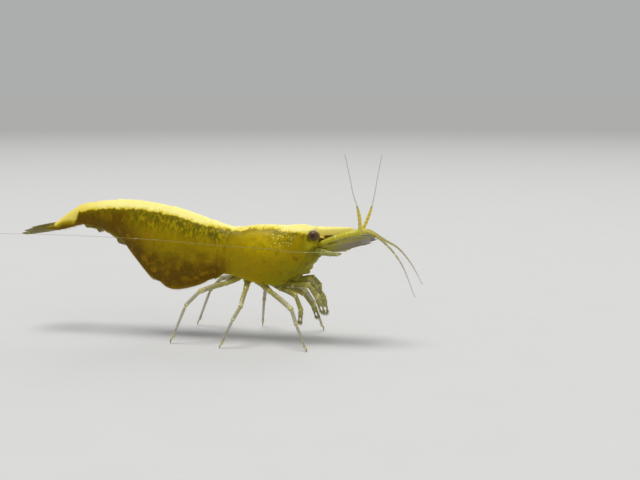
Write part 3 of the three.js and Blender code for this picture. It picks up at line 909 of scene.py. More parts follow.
def tail_plate(number, rows, corner_front, corner_rear, sharpness):
    """Plate `number` of the tail, 1 behind the head shield to 6 before the tail fan."""
    front_joint, rear_joint = JOINTS[number - 1], JOINTS[number]

    def front(down):
        return front_joint(down) + TUCKED * (1 if number != 2 else 1 - 0.4 * rise(down, 0.3, 0.5))

    def corner(share):
        back_half = rise(share, 0.35, 0.65)
        size = corner_front + (corner_rear - corner_front) * back_half
        return size * np.abs(2 * share - 1) ** sharpness

    def lift(x, share, down):
        behind_front = front_joint(down) - x
        before_rear = x - rear_joint(down)
        lobe = rise(down, 0.3, 0.5)
        over = lobe if number == 2 else 0.0
        under = lobe if number == 1 else 0.0
        tuck = -SUNK * rise(behind_front, 0.35, -0.1) * (1 - over)
        over_first = PROUD * bump_at(behind_front, -0.3, 0.35) * over
        height = PROUD if number < 4 else 0.6 * PROUD
        hind = height * bump_at(before_rear, 0, 0.28) * (1 - 2.2 * under)
        furrow = -0.03 * bump_at(behind_front, 0.42, 0.16) * (1 - lobe)
        swell = 0.05 * np.sin(np.pi * share) * bump_at(down, 0.74, 0.2)
        return tuck + over_first + hind + furrow + swell

    grid = plate_grid(front, rear_joint, rows, lift, corner)
    casting = Casting(*TRUNK_MARKS)
    cast_plate(casting, grid)
    add_edge_hairs(casting, grid)
    return casting


def add_edge_hairs(casting, grid):
    """A short fringe along the lower edges of a plate."""
    for column in (0, grid.shape[1] - 1):
        roots = grid[3:-3, column]
        downwards = unit(grid[3:-3, column] - grid[3:-3, column + (1 if column == 0 else -1)])
        lengths = EDGE_HAIR + 0.08 * chance.random((len(roots), 1))
        add_hairs(casting, roots, roots + downwards * lengths, 0.009, **trunk_marks(roots))


TAIL_PLATES = (              # rows, corners raised in front and behind, and how sharply
    (34, 0.3, 0.3, 4), (66, 0.55, 0.5, 4), (60, 0.3, 0.6, 4), (34, 0.2, 0.3, 4),
    (30, 0.15, 0.2, 5), (36, 0.08, 0.0, 5))
for number, shape in enumerate(TAIL_PLATES, start=1):
    place(f"tail_plate_{number}", tail_plate(number, *shape), ARMOUR, "shell",
          f"tail_ring_{number}")

# %% [markdown]
# ## Head shield and beak
# One plate covers head and chest. Its front rim is scalloped: a notch for each eye, a small
# spine below the notch, and a rounded cheek. In the middle it runs on into the beak, a thin
# blade with a saw of forward-leaning teeth on top and a few small ones below its tip. The blade
# is a loft of narrow sections, so the teeth are only a change in the height of its top line.

# %% Head shield
SHIELD_FRONT = smooth_line([
    (0, 6.78), (0.07, 6.35), (0.14, 6.0), (0.28, 5.92), (0.4, 6.15), (0.5, 6.62),
    (0.6, 6.25), (0.75, 5.6), (0.88, 4.95), (1, 4.2)])


def shield_lift(x, share, down):
    """The shield's relief: gill chamber, head groove, rims and the ridge towards the beak."""
    rows, columns = x.shape[0], down.shape[1]
    gill_chamber = 0.07 * bump_at(x, 2.4, 2.0) * bump_at(down, 0.62, 0.3)
    groove_place = 3.9 + 1.3 * down
    groove = -0.05 * bump_at(x, groove_place, 0.22) * bump_at(down, 0.42, 0.26)
    liver = 0.035 * bump_at(x, groove_place + 0.6, 0.4) * bump_at(down, 0.45, 0.16)
    on_beak = 1 - rise(down, 0.1, 0.2)
    front_rim = 0.04 * bump_at(share * 7.0, 0.0, 0.16) * (1 - 4.5 * on_beak)
    hind_rim = PROUD * bump_at((1 - share) * 7.0, 0.0, 0.22)
    low_rim = 0.035 * bump_at(down, 1.0, 0.025)
    ridge = 0.07 * rise(x, 4.2, 6.2) * bump_at(down, 0.0, 0.02)
    waves = 0.012 * np.sin(x * 5.1 + 3.0 * down) * np.sin(down * 21.0 - x * 1.7)
    total = gill_chamber + groove + liver + front_rim + hind_rim + low_rim + ridge + waves
    return np.broadcast_to(total, (rows, columns))


print("the eye notch reaches back to x =", round(float(SHIELD_FRONT(np.linspace(0, 0.5, 99)).min()), 2))

# %% Beak
BEAK_START, BEAK_TIP = 5.3, 9.5
BEAK_SECTIONS = 260
BEAK_SIDES = 28
UPPER_TEETH = 14
LOWER_TEETH = 4


def saw(x, start, end, count):
    """Teeth that rise slowly towards +x and drop steeply: 0 to 1."""
    phase = np.clip((x - start) / (end - start), 0, 0.9999) * count % 1.0
    tooth = np.where(phase < 0.78, phase / 0.78, (1 - phase) / 0.22)
    return tooth * ((x > start) & (x < end))


def cast_beak(casting):
    """The beak, from inside the shield's back out to its tip."""
    x = np.linspace(BEAK_START, BEAK_TIP, BEAK_SECTIONS)
    top = smooth_line([(5.3, 8.9), (5.9, 9.06), (6.4, 9.1), (7.2, 9.07), (8.4, 9.09),
                       (9.5, 9.08)])(x)
    keel = smooth_line([(5.3, 8.6), (6.5, 8.45), (7.0, 8.42), (7.4, 8.46), (8.1, 8.48),
                        (8.8, 8.72), (9.5, 9.03)])(x)
    ridge = smooth_line([(5.3, 8.75), (6.5, 8.86), (8.0, 8.92), (9.5, 9.05)])(x)
    wide = smooth_line([(5.3, 0.3), (6.2, 0.46), (6.8, 0.27), (7.6, 0.17), (8.6, 0.1),
                        (9.5, 0.02)])(x)
    top = top + 0.075 * saw(x, 5.75, 9.2, UPPER_TEETH) * (1 - 0.4 * rise(x, 7.5, 9.4))
    keel = keel - 0.05 * saw(x, 7.75, 9.1, LOWER_TEETH)
    turn = np.linspace(0, 2 * np.pi, BEAK_SIDES, endpoint=False)
    sideways, upwards = np.cos(turn), np.sin(turn)
    y = wide[:, None] * np.sign(sideways) * np.abs(sideways) ** 1.9
    reach = np.where(upwards > 0, (top - ridge)[:, None], (ridge - keel)[:, None])
    z = ridge[:, None] + reach * np.sign(upwards) * np.abs(upwards) ** 1.1
    rings = np.stack([np.broadcast_to(x[:, None], y.shape), y, z], axis=-1)
    noses = np.array([[BEAK_START, 0, ridge[0]], [BEAK_TIP + 0.03, 0, 9.05]])
    marks = trunk_marks(np.concatenate([rings.reshape(-1, 3), noses]))
    marks["band"] = marks["band"] + 0.5 * rise(marks["ahead"], 6.2, 6.8)
    add_loft(casting, rings, noses, **marks)


print("the beak is", round(BEAK_TIP - BEAK_START, 1), "mm long, root and all")

# %% Shield, beak and small spines
SMALL_SPINE_AT = (6.5, 0.53)         # x, and lap on either side
shield = Casting(*TRUNK_MARKS)
shield_grid = plate_grid(SHIELD_FRONT, JOINTS[0], 112, shield_lift)
cast_plate(shield, shield_grid)
add_edge_hairs(shield, shield_grid)
cast_beak(shield)
for _, side in SIDES:
    root = trunk(np.array(SMALL_SPINE_AT[0]), np.array(-SMALL_SPINE_AT[1] * side))
    tip = root + np.array([0.36, 0.03 * side, 0.0])
    add_tube(shield, np.linspace(root, tip, 6), np.linspace(0.085, 0.012, 6), sides=8,
             **{name: float(value) for name, value in trunk_marks(root).items()})
place("head_shield", shield, ARMOUR, "shell", "head_shield", "beak")

# %% [markdown]
# ## Skin
# Under the plates lies one soft body. It shows between the plates, along the belly, round the
# mouth and at the eyestalks. It is cast as many overlapping lumps: the core of the trunk, the
# leg bases, the jaws and the stalks. The core is the trunk's own outside moved straight in, so
# it stays under the plates everywhere. Blender's voxel remesher then melts all of it into one
# skin without seams, and a smoothing pass rounds the creases. Sculpting would give the same,
# but lumps with named places can be checked against the solids.

# %% Skin
CORE_INSET = 0.17            # how far the core lies inside the trunk's outside
BELLY = smooth_line([
    (-15.7, 1.0), (-13.6, 1.0), (-13.2, 0.86), (-10.4, 0.82), (-9.9, 0.7), (-5.6, 0.66),
    (-0.5, 0.64), (0.2, 0.93), (1.5, 0.95), (4.5, 0.95), (6.3, 0.98)])
SKIN_CELL = 0.09             # the remesher's cell
LUMP_TURNS = np.linspace(-0.98, 0.98, 13)


def cast_core(casting):
    """The trunk's core: its outside moved straight in, and closed along the belly."""
    x = np.arange(-15.6, 6.05, 0.12)
    laps = even_laps(61)[None, :] * BELLY(x)[:, None]
    sides = trunk(x[:, None], laps)
    sides = sides - outwards(sides) * CORE_INSET
    turn = np.linspace(0, np.pi, 14)[1:-1]
    segment = 0.07 * np.abs(np.sin(np.pi * (x + 0.6) / 2.2))
    sag = (0.22 + segment) * rise(x, -14.6, -12.8)
    edge = sides[:, -1]
    y = edge[:, 1:2] * np.cos(turn)
    z = edge[:, 2:] - sag[:, None] * np.sin(turn)
    under = np.stack([np.broadcast_to(x[:, None], y.shape), y, z], axis=-1)
    rings = np.concatenate([sides, under], axis=1)
    middle = rings.mean(axis=1)
    noses = np.stack([middle[0] - [0.05, 0, 0], middle[-1] + [0.15, 0, 0]])
    add_loft(casting, rings, noses)


def add_lump(casting, centre, size):
    """An egg-shaped lump with half sizes along x, y and z."""
    centre, size = np.array(centre, float), np.array(size, float)
    path = centre + np.linspace(-1, 1, 13)[:, None] * np.array([size[0], 0, 0]) * 0.98
    girth = np.sqrt(1 - LUMP_TURNS ** 2)
    add_tube(casting, path, size[1] * girth, size[2] * girth, sides=20, blunt=0.3)


LEG_ROOTS = ((4.95, 0.4, 4.85), (4.1, 0.62, 4.7), (3.15, 0.72, 4.65), (2.15, 0.8, 4.7),
             (1.05, 0.8, 4.8), (0.1, 0.75, 4.95))
SWIMMERET_ROOTS = ((-1.3, 0.62, 6.4), (-3.7, 0.72, 6.35), (-7.0, 0.66, 6.6), (-10.9, 0.5, 8.45),
                   (-12.7, 0.42, 8.8))
FACE = (                     # centre of each lump, then its half sizes
        (5.9, 0, 7.0, 0.55, 1.12, 0.9), (6.25, 0, 7.5, 0.5, 1.0, 0.55),
        (5.35, 0, 5.6, 0.5, 0.62, 0.32), (5.7, 0, 6.08, 0.46, 0.8, 0.4),
        (6.13, 0, 6.56, 0.42, 0.82, 0.4), (6.5, 0, 6.96, 0.4, 0.72, 0.36),
        (6.85, 0, 7.34, 0.4, 0.55, 0.3), (6.42, 0, 8.1, 0.76, 0.5, 0.42),
        (6.3, 0, 7.6, 0.6, 0.8, 0.5), (5.9, 0.3, 5.88, 0.22, 0.2, 0.26),
        (5.9, -0.3, 5.88, 0.22, 0.2, 0.26), (5.72, 0.0, 5.5, 0.26, 0.14, 0.2))
LEG_LUMP = (0.4, 0.34, 0.34)
SWIMMERET_LUMP = (0.34, 0.26, 0.3)
print("lumps:", len(FACE), "of the face and", 2 * (len(LEG_ROOTS) + len(SWIMMERET_ROOTS)), "of limbs")

# %% Melting the skin
lumps = Casting()
cast_core(lumps)
for x, y, z, *size in FACE:
    add_lump(lumps, (x, y, z), size)
for word, side in SIDES:
    for x, y, z in LEG_ROOTS:
        add_lump(lumps, (x, y * side, z), LEG_LUMP)
    for x, y, z in SWIMMERET_ROOTS:
        add_lump(lumps, (x, y * side, z), SWIMMERET_LUMP)
    centre, looks = EYES[word]
    neck = centre - unit(looks) * EYE_RADIUS
    root = np.array([6.4, 0.4 * side, 8.36])
    stalk = smooth_path([(6.1, 0.15 * side, 8.28), root, (root + neck) / 2 + (0, 0, 0.02), neck,
                         centre - unit(looks) * 0.07], 12)
    girth = smooth_line([(0, 0.26), (0.35, 0.24), (0.6, 0.26), (0.85, 0.33), (1, 0.38)])
    add_tube(lumps, stalk, girth(np.linspace(0, 1, 12)), across=(1, 0, 0), sides=20, blunt=0.1)
melted = bpy.data.objects.new("melted", lumps.mesh("melted"))
bpy.context.scene.collection.objects.link(melted)
remesh = melted.modifiers.new("melt", "REMESH")
remesh.mode = "VOXEL"
remesh.voxel_size = SKIN_CELL
smooth = melted.modifiers.new("soften", "SMOOTH")
smooth.factor = 0.5
smooth.iterations = 5
depsgraph = bpy.context.evaluated_depsgraph_get()
skin_mesh = bpy.data.meshes.new_from_object(melted.evaluated_get(depsgraph))
bpy.data.objects.remove(melted)
skin_points = np.empty(len(skin_mesh.vertices) * 3, np.float32)
skin_mesh.vertices.foreach_get("co", skin_points)
for name, value in trunk_marks(skin_points.reshape(-1, 3).astype(float)).items():
    layer = skin_mesh.attributes.new(name, "FLOAT", "POINT")
    layer.data.foreach_set("value", value.astype(np.float32))
place_mesh("skin", skin_mesh, SKIN, "flesh", "chest_underside", "mouthparts", "eyestalk_left",
           "eyestalk_right")

# %% [markdown]
# ## Eyes
# A shrimp's eye is a dome of hundreds of tiny facets on a short stalk, a little flatter than it
# is wide. The facets are modelled: a lattice of points is spread evenly over the dome, as seeds
# are in a sunflower, and each point of a fine ball sinks a little with its distance from the
# nearest one. A bump map would be lighter, but grooves that are really there also show at the
# dome's outline. It is dark brown and glossy, darkest where it looks outwards, with a paler rim
# at the stalk.


# %% Eyes
FACETS = 620
FACET_DEPTH = 0.016          # as a share of the eye's radius
EYE_FLAT = 0.88              # its height against its width


def eye_finish():
    """Dark glossy brown, paler towards the stalk and in the grooves."""
    material, paint, where = new_finish("dark_glossy_cornea")
    outward = mark(paint, "outward")
    facet = mark(paint, "facet")
    mottle = noise(paint, where, 0.12, 2.0)
    colour = mix(step(outward + (mottle - 0.5) * 0.06, 0.97, 0.86), screen("1c0f03"),
                 screen("513c18"))
    colour = mix(step(outward, 0.72, 0.3) * 0.9, colour, screen("77602c"))
    colour = mix(facet * 0.22, colour, screen("7a6238"))
    coat(paint, colour, 0.16 + facet * 0.14, mottle, 0.002, Specular_IOR_Level=0.2,
         Coat_Weight=0.12, Coat_Roughness=0.06)
    return material


def cast_eye(centre, looks):
    """One cornea: a slightly flattened ball with facets on its outer part."""
    ball = bmesh.new()
    bmesh.ops.create_icosphere(ball, subdivisions=6, radius=1.0)
    ways = np.array([v.co for v in ball.verts])
    faces = [[v.index for v in face.verts] for face in ball.faces]
    ball.free()
    number = np.arange(FACETS) + 0.5
    height = 1 - 2 * number / FACETS
    turn = np.pi * (1 + 5**0.5) * number
    flat = np.sqrt(1 - height**2)
    seeds = np.stack([flat * np.cos(turn), flat * np.sin(turn), height], axis=-1)
    nearest = np.sqrt(np.maximum(2 - 2 * (ways @ seeds.T).max(axis=1), 0))
    facet = np.clip(nearest / (1.9 / FACETS**0.5), 0, 1) ** 2
    outward = ways @ looks
    grow = 1 - FACET_DEPTH * facet * rise(outward, 0.0, 0.3) - 0.05 * rise(outward, 0.4, 1.0)
    grow = grow * (1 - 0.12 * rise(outward, -0.2, -1.0))
    eye = Casting("outward", "facet")
    globe = ways * grow[:, None] * EYE_RADIUS * (1, 1, EYE_FLAT)
    eye.add(centre + globe, [faces], outward=outward, facet=facet)
    return eye


CORNEA = eye_finish()
for word, (centre, looks) in EYES.items():
    eye = cast_eye(centre, unit(looks))
    place(f"eye_{word}", eye, CORNEA, "eye", f"eye_{word}")

# %% [markdown]
# ## Clear limbs
# Legs and feeler stems are nearly clear tubes of shell with a little yellow-green flesh inside,
# dense near the body and fading outwards, and with chalk-white and yellow flecks that crowd
# round the joints. Two numbers at each point carry that: how far along the limb it is, and how
# near to a joint. They are laid on as a limb is cast, so nothing has to be unwrapped. Shell and
# flesh could also be two surfaces with light bent through both. Here the clearness is part
# alpha, part pale colour, which is simpler and still reads on any ground.


# %% Limb and feeler finishes
def limb_finish(name, near_body, far_out, clear, pale_joints=1.0):
    """Clear limbs: flesh near the body, chalk and yellow flecks round the joints."""
    material, paint, where = new_finish(name)
    along, knot = mark(paint, "along"), mark(paint, "knot")
    cloud = noise(paint, where, 0.35, 3.0)
    grain = noise(paint, where, 0.07, 2.0)
    flesh = mix(step(along + (cloud - 0.5) * 0.5, 0.08, 0.75), screen(near_body),
                screen(far_out))
    flesh = mix(step(cloud, 0.5, 0.66) * 0.4, flesh, screen("a9a23a"))
    chalk = dots(paint, where, 0.15, 0.05, 0.55) * (0.25 + knot * 0.75 * pale_joints)
    joint = knot * step(grain, 0.4, 0.6) * 0.55 * pale_joints
    colour = mix(joint, flesh, screen("ddd06c"))
    colour = mix(chalk, colour, screen("fbf6d8"))
    solid = step(knot + chalk + (1 - along) * 0.9, 0.05, 0.9)
    shader = {"Alpha": clear + solid * (1 - clear), "Subsurface_Weight": 0.25,
              "Subsurface_Radius": (1.0, 0.8, 0.4), "Subsurface_Scale": 0.0003,
              "Coat_Weight": 0.12, "Coat_Roughness": 0.15, "Specular_IOR_Level": 0.3}
    coat(paint, colour, 0.28 + grain * 0.14, grain, 0.008, **shader)
    return material


def feeler_finish():
    """Feelers: yellow at the root, ringed, greying to clear, with white dots on the way."""
    material, paint, where = new_finish("ringed_feeler")
    rings, tint = mark(paint, "rings"), mark(paint, "tint")
    beads = dots(paint, where, 0.5, 0.11, 0.6)
    wave = rings.sum("SINE", rings)
    colour = mix(step(tint + wave * 0.06, 0.15, 0.85), screen("a39a5c"), screen("dfd45a"))
    colour = mix(step(wave, 0.2, 0.95) * step(tint, 0.2, 0.7) * 0.5, colour, screen("c98f2c"))
    colour = mix(beads * 0.85, colour, screen("fbf8e4"))
    coat(paint, colour, 0.34 + beads * 0.1, wave, 0.004,
         Alpha=0.26 + step(tint, 0.1, 0.6) * 0.74, Specular_IOR_Level=0.2,
         Coat_Weight=0.06, Coat_Roughness=0.2)
    return material


LIMB = limb_finish("clear_leg", "a1983c", "b0ae98", 0.55)
GRAZER = limb_finish("green_pincer_leg", "8a821a", "a09a52", 0.8)
STEM = limb_finish("yellow_stem", "a89f12", "cbc02e", 0.9, 0.18)
GREEN_STEM = limb_finish("green_stem", "8f9028", "a0a460", 0.75, 0.35)
FEELER = feeler_finish()
print("finishes of legs, stems and whips mixed")


# %% Blade and hair finishes
def blade_finish(name, root, middle, tip, clear, inner_flesh=0.0):
    """Thin clear blades: tinted flesh at the root and midrib, clearing towards the rim."""
    root, middle, tip = screen(root), screen(middle), screen(tip)
    material, paint, where = new_finish(name)
    along, rim = mark(paint, "along"), mark(paint, "rim")
    cloud = noise(paint, where, 0.3, 3.0)
    grain = noise(paint, where, 0.06, 2.0)
    colour = mix(step(along + (cloud - 0.5) * 0.3, 0.0, 0.45), root, middle)
    colour = mix(step(along + (cloud - 0.5) * 0.25, 0.66, 0.98), colour, tip)
    colour = mix(step(rim, 0.7, 1.0) * 0.4, colour, tip)
    inner = step(mark(paint, "edgeways") + (cloud - 0.5) * 0.5, 0.25, -0.7)
    colour = mix(inner * inner_flesh, colour, root)
    flecks = dots(paint, where, 0.13, 0.022, 0.35) * step(cloud, 0.4, 0.55)
    colour = mix(flecks * 0.5, colour, screen("d6cc74"))
    fade = step(along, 0.5, 1.0) * 0.65 + step(rim, 0.6, 1.0) * 0.35
    coat(paint, colour, 0.3 + grain * 0.15, grain + cloud, 0.008,
         Alpha=1 - fade * (1 - clear), Specular_IOR_Level=0.12, Coat_Weight=0.03,
         Coat_Roughness=0.15)
    return material


def hair_finish(name, dark, light, solid):
    """Hairs that clear towards their tips."""
    material, paint, where = new_finish(name)
    along = mark(paint, "along")
    cloud = noise(paint, where, 0.4, 2.0)
    colour = mix(cloud, screen(dark), screen(light))
    coat(paint, colour, 0.45 + cloud * 0.1, cloud, 0.002, Alpha=solid - along * 0.35)
    return material


FAN = blade_finish("olive_fan", "7a6504", "4f4702", "74733c", 0.88)
TAIL_SPINE = blade_finish("golden_tail_spine", "8a7408", "5a5204", "7e7c3c", 0.9)
PADDLE = blade_finish("clear_paddle", "7a6a0c", "7d7020", "9a904c", 0.6)
SCALE = blade_finish("clear_scale", "7f7a1a", "776f58", "8e8880", 0.6, 0.8)
HAIR = hair_finish("pale_hair", "c9c48c", "eeead0", 0.9)
FRINGE = hair_finish("grey_fringe", "8d8a60", "b4b08a", 0.75)
print("finishes of blades and hairs mixed")

# %% [markdown]
# ## Segments and spines
# A leg is a chain of segments. Each one is a tube that is narrow where it hangs in the one
# before, swells a little, and flares at its far end to hold the next. Fine spines stand on the
# lower side. A limb could be one long skin, but separate overlapping tubes give the sharp rings
# at the joints for nothing. Both feeler stems and every leg come from this one function.


# %% Segments
SEGMENT_SECTIONS = 26
NECK = 0.74                  # girth at the root, as a share of the segment's own


def add_segment(casting, start, end, girth, across, flat=1.0, along=(0, 1), bow=0.0, sides=14):
    """One segment of a limb. girth is its radius at start and end; flat is height to width."""
    start, end = np.array(start, float), np.array(end, float)
    t = np.linspace(0, 1, SEGMENT_SECTIONS)
    sag = np.sin(np.pi * t)[:, None] * np.array([0, 0, bow])
    path = start + (end - start) * t[:, None] + sag
    radius = girth[0] + (girth[1] - girth[0]) * t
    radius = radius * (NECK + (1 - NECK) * rise(t, 0, 0.16)) * (1 + 0.13 * bump_at(t, 0.96, 0.07))
    knot = np.maximum(bump_at(t, 0, 0.1), bump_at(t, 1, 0.12))
    add_tube(casting, path, radius, radius * flat, across=across, sides=sides, blunt=0.7,
             along=along[0] + (along[1] - along[0]) * t, knot=knot)
    return path, radius


def add_spines(casting, path, radius, shares, towards, length, thick, along):
    """Spines on a segment, leaning towards its far end."""
    count = len(path) - 1
    place_on = np.clip((np.asarray(shares) * count).astype(int), 0, count)
    ahead = unit(path[-1] - path[0])
    towards = unit(np.asarray(towards, float))
    roots = path[place_on] + towards * radius[place_on][:, None] * 0.8
    tips = roots + (towards * 0.75 + ahead * 0.65) * np.asarray(length).reshape(-1, 1)
    add_hairs(casting, roots, tips, thick, along=along, knot=0.4)


LIMB_MARKS = ("along", "knot")
trial = Casting(*LIMB_MARKS)
_, girths = add_segment(trial, (0, 0, 0), (1, 0, 0), (0.2, 0.2), (0, 1, 0))
print(f"a segment 0.2 mm round runs from {girths.min():.3f} to {girths.max():.3f} mm")

# %% [markdown]
# ## Walking legs
# The last three pairs of legs carry the animal. From the hip they have a short piece, a long
# thigh, a short wrist, a long slim shin with a row of spines, and a curved claw with its own
# comb of spinelets. Hip, knee, wrist and foot are where the solids have them. A posed skeleton
# of bones could hold the legs as well, but the model stands still, so four places for each leg
# are enough. The spines are cast with the leg. The claws are pieces of their own, because they
# have a darker finish.


# %% Walking legs
WALKING_LEGS = {             # hip, knee, wrist and foot; y is measured outwards
    "leg_3_right": ((2.15, 0.8, 4.5), (5.33, 3.4, 3.05), (5.8, 3.8, 1.99), (6.75, 4.3, 0)),
    "leg_3_left": ((2.15, 0.8, 4.5), (4.7, 3.3, 3.5), (5.3, 3.8, 2.3), (6.0, 4.2, 0)),
    "leg_4_right": ((1.05, 0.8, 4.62), (1.3, 3.6, 3.12), (0.84, 4.15, 2.18), (-0.1, 4.6, 0)),
    "leg_4_left": ((1.05, 0.8, 4.62), (1.2, 3.5, 3.4), (0.9, 4.1, 2.3), (0.6, 4.6, 0)),
    "leg_5_right": ((0.1, 0.75, 4.75), (-2.2, 3.05, 4.1), (-3.2, 3.5, 3.05), (-4.4, 3.85, 0)),
    "leg_5_left": ((0.1, 0.75, 4.75), (-2.5, 3.0, 4.2), (-3.6, 3.45, 3.1), (-4.9, 3.8, 0))}
HIP_PIECE = 0.3              # its length, as a share of hip to knee
CLAW_START = 0.83            # where the claw begins, as a share of wrist to foot
HIP_TUCK = (0, 0, 0.12)      # how far a limb reaches up into the skin


def on_side(point, side):
    """A point given with y measured out from the middle, on one side of the body."""
    return np.array(point, float) * np.array([1, side, 1])


def side_of(name):
    """1 for a left limb, -1 for a right one."""
    return 1 if name.endswith("left") else -1


def cast_walking_leg(spots):
    """The leg down to its claw: hip piece, thigh, wrist and shin."""
    hip, knee, wrist, foot = spots
    leg = Casting(*LIMB_MARKS)
    sway = unit(np.cross(foot - hip, (0, 0, 1)))
    hip_end = hip + (knee - hip) * HIP_PIECE
    ankle = wrist + (foot - wrist) * CLAW_START
    add_segment(leg, hip + HIP_TUCK, hip_end, (0.27, 0.2), sway, along=(0, 0.22))
    thigh = add_segment(leg, hip_end, knee, (0.185, 0.17), sway, 1.15, (0.22, 0.5), bow=0.05)
    add_segment(leg, knee, wrist, (0.15, 0.145), sway, along=(0.5, 0.62))
    shin = add_segment(leg, wrist, ankle, (0.12, 0.09), sway, along=(0.62, 0.95), bow=0.02)
    under = np.cross(unit(knee - hip), sway)
    under = under * -np.sign(under[2])
    add_spines(leg, *thigh, (0.35, 0.6, 0.85), under, 0.2, 0.022, 0.4)
    behind = unit(np.cross(unit(foot - wrist), sway))
    behind = behind * -np.sign(np.dot(behind, knee - hip))
    add_spines(leg, *shin, np.linspace(0.12, 0.97, 11), behind, np.linspace(0.1, 0.17, 11),
               0.014, 0.8)
    add_spines(leg, *shin, (0.98, 0.98, 0.99), behind + 0.6 * sway, 0.14, 0.012, 0.9)
    add_spines(leg, *shin, np.linspace(0.2, 0.9, 6), -behind, 0.08, 0.008, 0.8)
    return leg, ankle, behind, sway


print("walking legs stand on:", [spots[-1][:2] for spots in WALKING_LEGS.values()])


# %% Claws
TIP_ABOVE = 0.012            # the claw's last radius, and how high its middle ends


def cast_claw(ankle, foot, behind, sway):
    """The curved claw at the end of a walking leg, its point on the ground."""
    claw = Casting(*LIMB_MARKS)
    t = np.linspace(0, 1, 16)
    bend = np.sin(np.pi * t)[:, None] * behind * -0.07
    tip = foot + np.array([0, 0, TIP_ABOVE])
    path = ankle + (tip - ankle) * t[:, None] + bend
    radius = 0.075 * (1 - t) ** 0.8 + TIP_ABOVE
    add_tube(claw, path, radius, radius * 1.15, across=sway, sides=10, along=t, knot=1 - t)
    add_spines(claw, path, radius, (0.3, 0.45, 0.6, 0.73, 0.85), behind,
               np.linspace(0.06, 0.1, 5), 0.014, 0.9)
    return claw


def claw_finish():
    """Pale horn that turns amber towards the point."""
    material, paint, where = new_finish("amber_claw")
    along = mark(paint, "along")
    grain = noise(paint, where, 0.05, 2.0)
    colour = mix(step(along + (grain - 0.5) * 0.3, 0.1, 0.9), screen("cfc98f"), screen("8a6a2a"))
    coat(paint, colour, 0.25 + grain * 0.15, grain, 0.004, Coat_Weight=0.3, Coat_Roughness=0.12)
    return material


CLAW = claw_finish()
for name, spots in WALKING_LEGS.items():
    spots = [on_side(spot, side_of(name)) for spot in spots]
    leg, ankle, behind, sway = cast_walking_leg(spots)
    place(name, leg, LIMB, "limb", name)
    claw = cast_claw(ankle, spots[-1], behind, sway)
    place(name.replace("leg", "claw"), claw, CLAW, "limb")

# %% [markdown]
# ## Pincer legs and mouth legs
# The first two pairs of legs are for grazing: each ends in a small pincer whose two fingers
# carry brushes of stiff hairs that sweep up algae. In life the fingers are hollowed like spoons.
# The brushes hide that, so here they are only flattened. The first pair is short and stout with
# a thick wrist, the second longer. In front of them hang the mouth legs, slim and hairy. The
# brushes are many fine spikes that fan out round the fingers' ends. A particle system could
# comb them, but its strands have no faces, and a model that leaves Blender needs faces, so each
# hair is a thin solid spike.


# %% Pincers
GRAZING_LEGS = {             # hip, knee, wrist and tip of the pincer
    "leg_2_right": ((3.15, 0.72, 4.45), (5.15, 1.55, 3.85), (5.62, 1.65, 2.7), (5.52, 1.68, 1.55)),
    "leg_2_left": ((3.15, 0.72, 4.45), (5.0, 1.5, 3.5), (5.75, 1.7, 2.5), (6.15, 1.75, 1.4)),
    "leg_1_right": ((4.1, 0.62, 4.5), (6.15, 1.22, 4.62), (6.86, 1.34, 3.74), (7.34, 1.34, 2.38)),
    "leg_1_left": ((4.1, 0.62, 4.5), (6.1, 1.3, 4.25), (6.65, 1.4, 3.25), (6.9, 1.4, 1.8))}
MOUTH_LEG = ((4.95, 0.4, 4.75), (6.05, 0.6, 4.98), (6.6, 0.62, 4.4), (6.7, 0.56, 3.5))
BRUSH = 0.34                 # length of the brush hairs
BRUSH_HAIRS = 70
BRUSH_THICK = 0.011
PALM = 0.52                  # its length, as a share of the pincer


def add_pincer(leg, wrist, tip, stout, across):
    """A palm with two flattened fingers and their brushes."""
    ahead = unit(tip - wrist)
    spread = np.cross(ahead, across)
    reach = float(np.linalg.norm(tip - wrist)) - BRUSH * 0.55
    palm_end = wrist + ahead * reach * PALM
    t = np.linspace(0, 1, 22)
    palm = wrist + (palm_end - wrist) * t[:, None]
    girth = stout * (0.62 + 0.42 * np.sin(np.pi * np.clip(0.12 + 0.75 * t, 0, 1)))
    add_tube(leg, palm, girth * 0.8, girth, across=across, sides=16, blunt=0.7,
             along=0.6 + 0.2 * t, knot=bump_at(t, 0, 0.2) * 0.8)
    for turn in (1, -1):
        base = palm_end + spread * turn * stout * 0.48 - ahead * 0.05
        end = wrist + ahead * reach + spread * turn * stout * 0.3
        finger = base + (end - base) * t[:, None]
        finger = finger + np.sin(np.pi * t)[:, None] * spread * turn * stout * 0.22
        width = stout * 0.44 * (1 - 0.72 * t**2)
        add_tube(leg, finger, width * 1.15, width * 0.8, across=across, sides=12, blunt=0.8,
                 along=0.8 + 0.2 * t, knot=t * 0.5)
        place_on = (12 + 9 * chance.random(BRUSH_HAIRS)).astype(int)
        angle = chance.random(BRUSH_HAIRS) * 2 * np.pi
        around = np.cos(angle)[:, None] * across + np.sin(angle)[:, None] * spread
        roots = finger[place_on] + around * width[place_on][:, None] * 0.6
        lean = 0.16 + 0.22 * chance.random((BRUSH_HAIRS, 1))
        length = BRUSH * (0.65 + 0.35 * chance.random((BRUSH_HAIRS, 1)))
        tips = roots + (ahead + around * lean) * length
        add_hairs(leg, roots, tips, BRUSH_THICK, bend=around * 0.02, along=0.95, knot=0.1)


print("each brush has", BRUSH_HAIRS, "hairs, up to", BRUSH, "mm long")

# %% Grazing legs
GRAZER_HIP = 0.34            # its hip piece, as a share of hip to knee
STOUT, LESS_STOUT = 0.25, 0.21       # palms of the front pair and of the second


